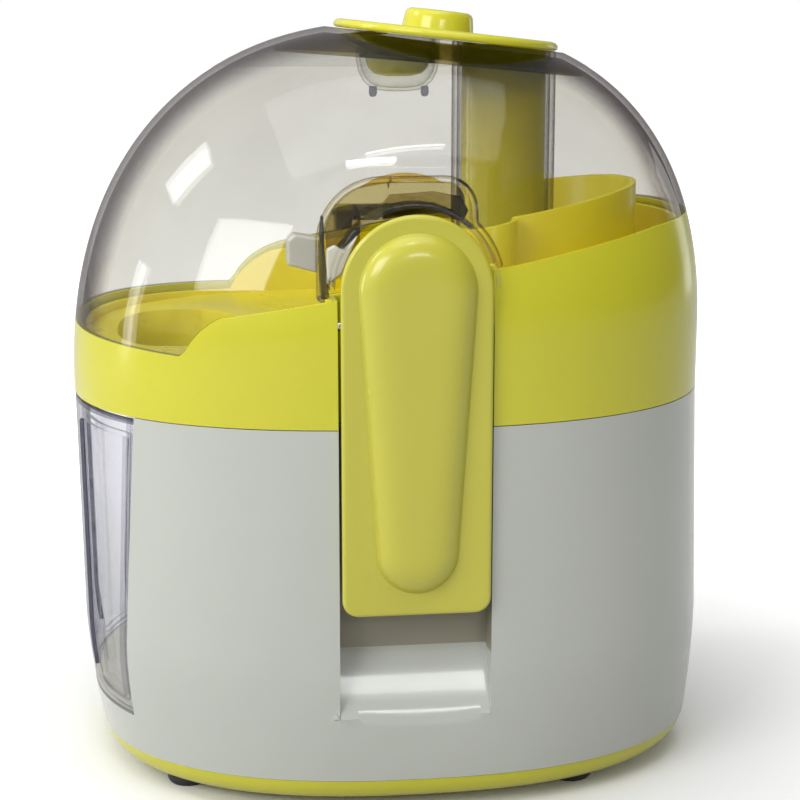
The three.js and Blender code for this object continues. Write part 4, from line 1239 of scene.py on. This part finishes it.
# ---------- studio ----------
def make_floor():
    """A pale floor, darker as a bounce light than it looks, with a glow that only the camera sees."""
    mesh = bpy.data.meshes.new("studio_floor")
    work = bmesh.new()
    bmesh.ops.create_circle(work, cap_ends=True, radius=8.0, segments=96)
    work.to_mesh(mesh)
    work.free()
    floor = bpy.data.objects.new("studio_floor", mesh)
    bpy.context.scene.collection.objects.link(floor)
    n = Nodes(bpy.data.materials.new("studio_floor"))
    rays = n.add("ShaderNodeLightPath")
    paper = n.blend(n.noise(30, 3), (0.90, 0.90, 0.90), (0.92, 0.92, 0.92))
    paper = n.blend(rays.outputs["Is Diffuse Ray"], paper, (0.42, 0.42, 0.40))
    diffuse = n.add("ShaderNodeBsdfDiffuse", Color=paper)
    glow = n.add("ShaderNodeEmission", Color=(1, 1, 1, 1))
    away = n.tree.nodes.new("ShaderNodeVectorMath")
    away.operation = "LENGTH"
    n.tree.links.new(n.place, away.inputs[0])
    rise = n.ramp(away.outputs["Value"], 0.0, 0.7, 0.10, 0.45)
    n.feed(glow, "Strength", n.maths("MULTIPLY", rays.outputs["Is Camera Ray"], rise))
    total = n.add("ShaderNodeAddShader")
    n.tree.links.new(diffuse.outputs[0], total.inputs[0])
    n.tree.links.new(glow.outputs[0], total.inputs[1])
    floor.data.materials.append(n.finish(total.outputs[0]))


def make_world():
    """A room that is dimmer towards the right-hand side, and plain white to the camera itself."""
    world = bpy.data.worlds.new("studio")
    bpy.context.scene.world = world
    n = Nodes(world, "ShaderNodeOutputWorld")
    place = n.add("ShaderNodeTexCoord").outputs["Generated"]
    along = n.add("ShaderNodeSeparateXYZ", Vector=place).outputs["X"]
    room = n.add("ShaderNodeBackground", Strength=n.ramp(along, 1.1, 0.16, -0.9, 0.9))
    seen = n.add("ShaderNodeBackground", Color=(1, 1, 1, 1), Strength=1.0)
    rays = n.add("ShaderNodeLightPath")
    n.finish(n.mixed(rays.outputs["Is Camera Ray"], room.outputs[0], seen.outputs[0]))


def add_lamp(name, place, target, size, watts, colour=(1, 1, 1)):
    """A rectangular soft light; place, target and size are in metres."""
    data = bpy.data.lights.new(name, "AREA")
    data.shape = "RECTANGLE"
    data.size, data.size_y = size
    data.energy = watts
    data.color = colour
    lamp = bpy.data.objects.new(name, data)
    bpy.context.scene.collection.objects.link(lamp)
    lamp.location = place
    lamp.rotation_mode = "QUATERNION"
    lamp.rotation_quaternion = (Vector(target) - Vector(place)).to_track_quat("-Z", "Y")
    return lamp


def aimed(azimuth, elevation, distance=2.0):
    """A place in metres from the juicer's middle; azimuth 0 is +X and 90 is +Y."""
    flat = math.cos(math.radians(elevation)) * distance
    angle = math.radians(azimuth)
    height = math.sin(math.radians(elevation)) * distance
    return (flat * math.cos(angle), flat * math.sin(angle), 0.15 + height)


def make_lights():
    """Soft light from the upper left, with small bright panes that the plastic mirrors."""
    middle = (0, 0, 0.15)
    add_lamp("key_light", (-1.3, -1.2, 1.1), middle, (1.0, 0.8), 14)
    add_lamp("top_light", (0.0, -0.2, 1.7), middle, (1.4, 1.2), 7)
    add_lamp("front_pane", aimed(-82.7, 22), middle, (0.5, 0.22), 3)
    add_lamp("window_pane", aimed(168, 41.5), middle, (0.42, 0.5), 5)
    add_lamp("ceiling_strip", aimed(-97, 61), middle, (0.40, 0.07), 1.6)
    add_lamp("ceiling_arc", aimed(-82, 65), middle, (0.55, 0.035), 0.8)
    add_lamp("rear_strip", aimed(38, -3, 2.2), middle, (0.5, 1.6), 3)
    add_lamp("left_strip", aimed(174, 4), middle, (0.24, 1.0), 5)


CAMERA_PLACE = (-90.34, -756.30, 305.12)
CAMERA_TARGET = (7.0, 0.0, 141.0)
CAMERA_LENS = 83.8


def make_camera():
    """The camera at the photograph's angle."""
    data = bpy.data.cameras.new("camera")
    data.sensor_width = 36
    data.lens = CAMERA_LENS
    camera = bpy.data.objects.new("camera", data)
    bpy.context.scene.collection.objects.link(camera)
    camera.location = Vector(CAMERA_PLACE) * MM
    aim = Vector(CAMERA_TARGET) * MM - camera.location
    camera.rotation_mode = "QUATERNION"
    camera.rotation_quaternion = aim.to_track_quat("-Z", "Y")
    bpy.context.scene.camera = camera
    bpy.context.scene.view_settings.view_transform = "Standard"


make_camera()
make_housing()
make_collar()
make_hinge_ears()
make_dome()
make_flange_shade()
make_feed_tube()
make_key_cup()
make_niche_frame()
make_niche_details()
make_lid_knuckle()
make_pusher()
make_latch()
make_container()
make_base_pan()
dress_nodes()
make_floor()
make_world()
make_lights()
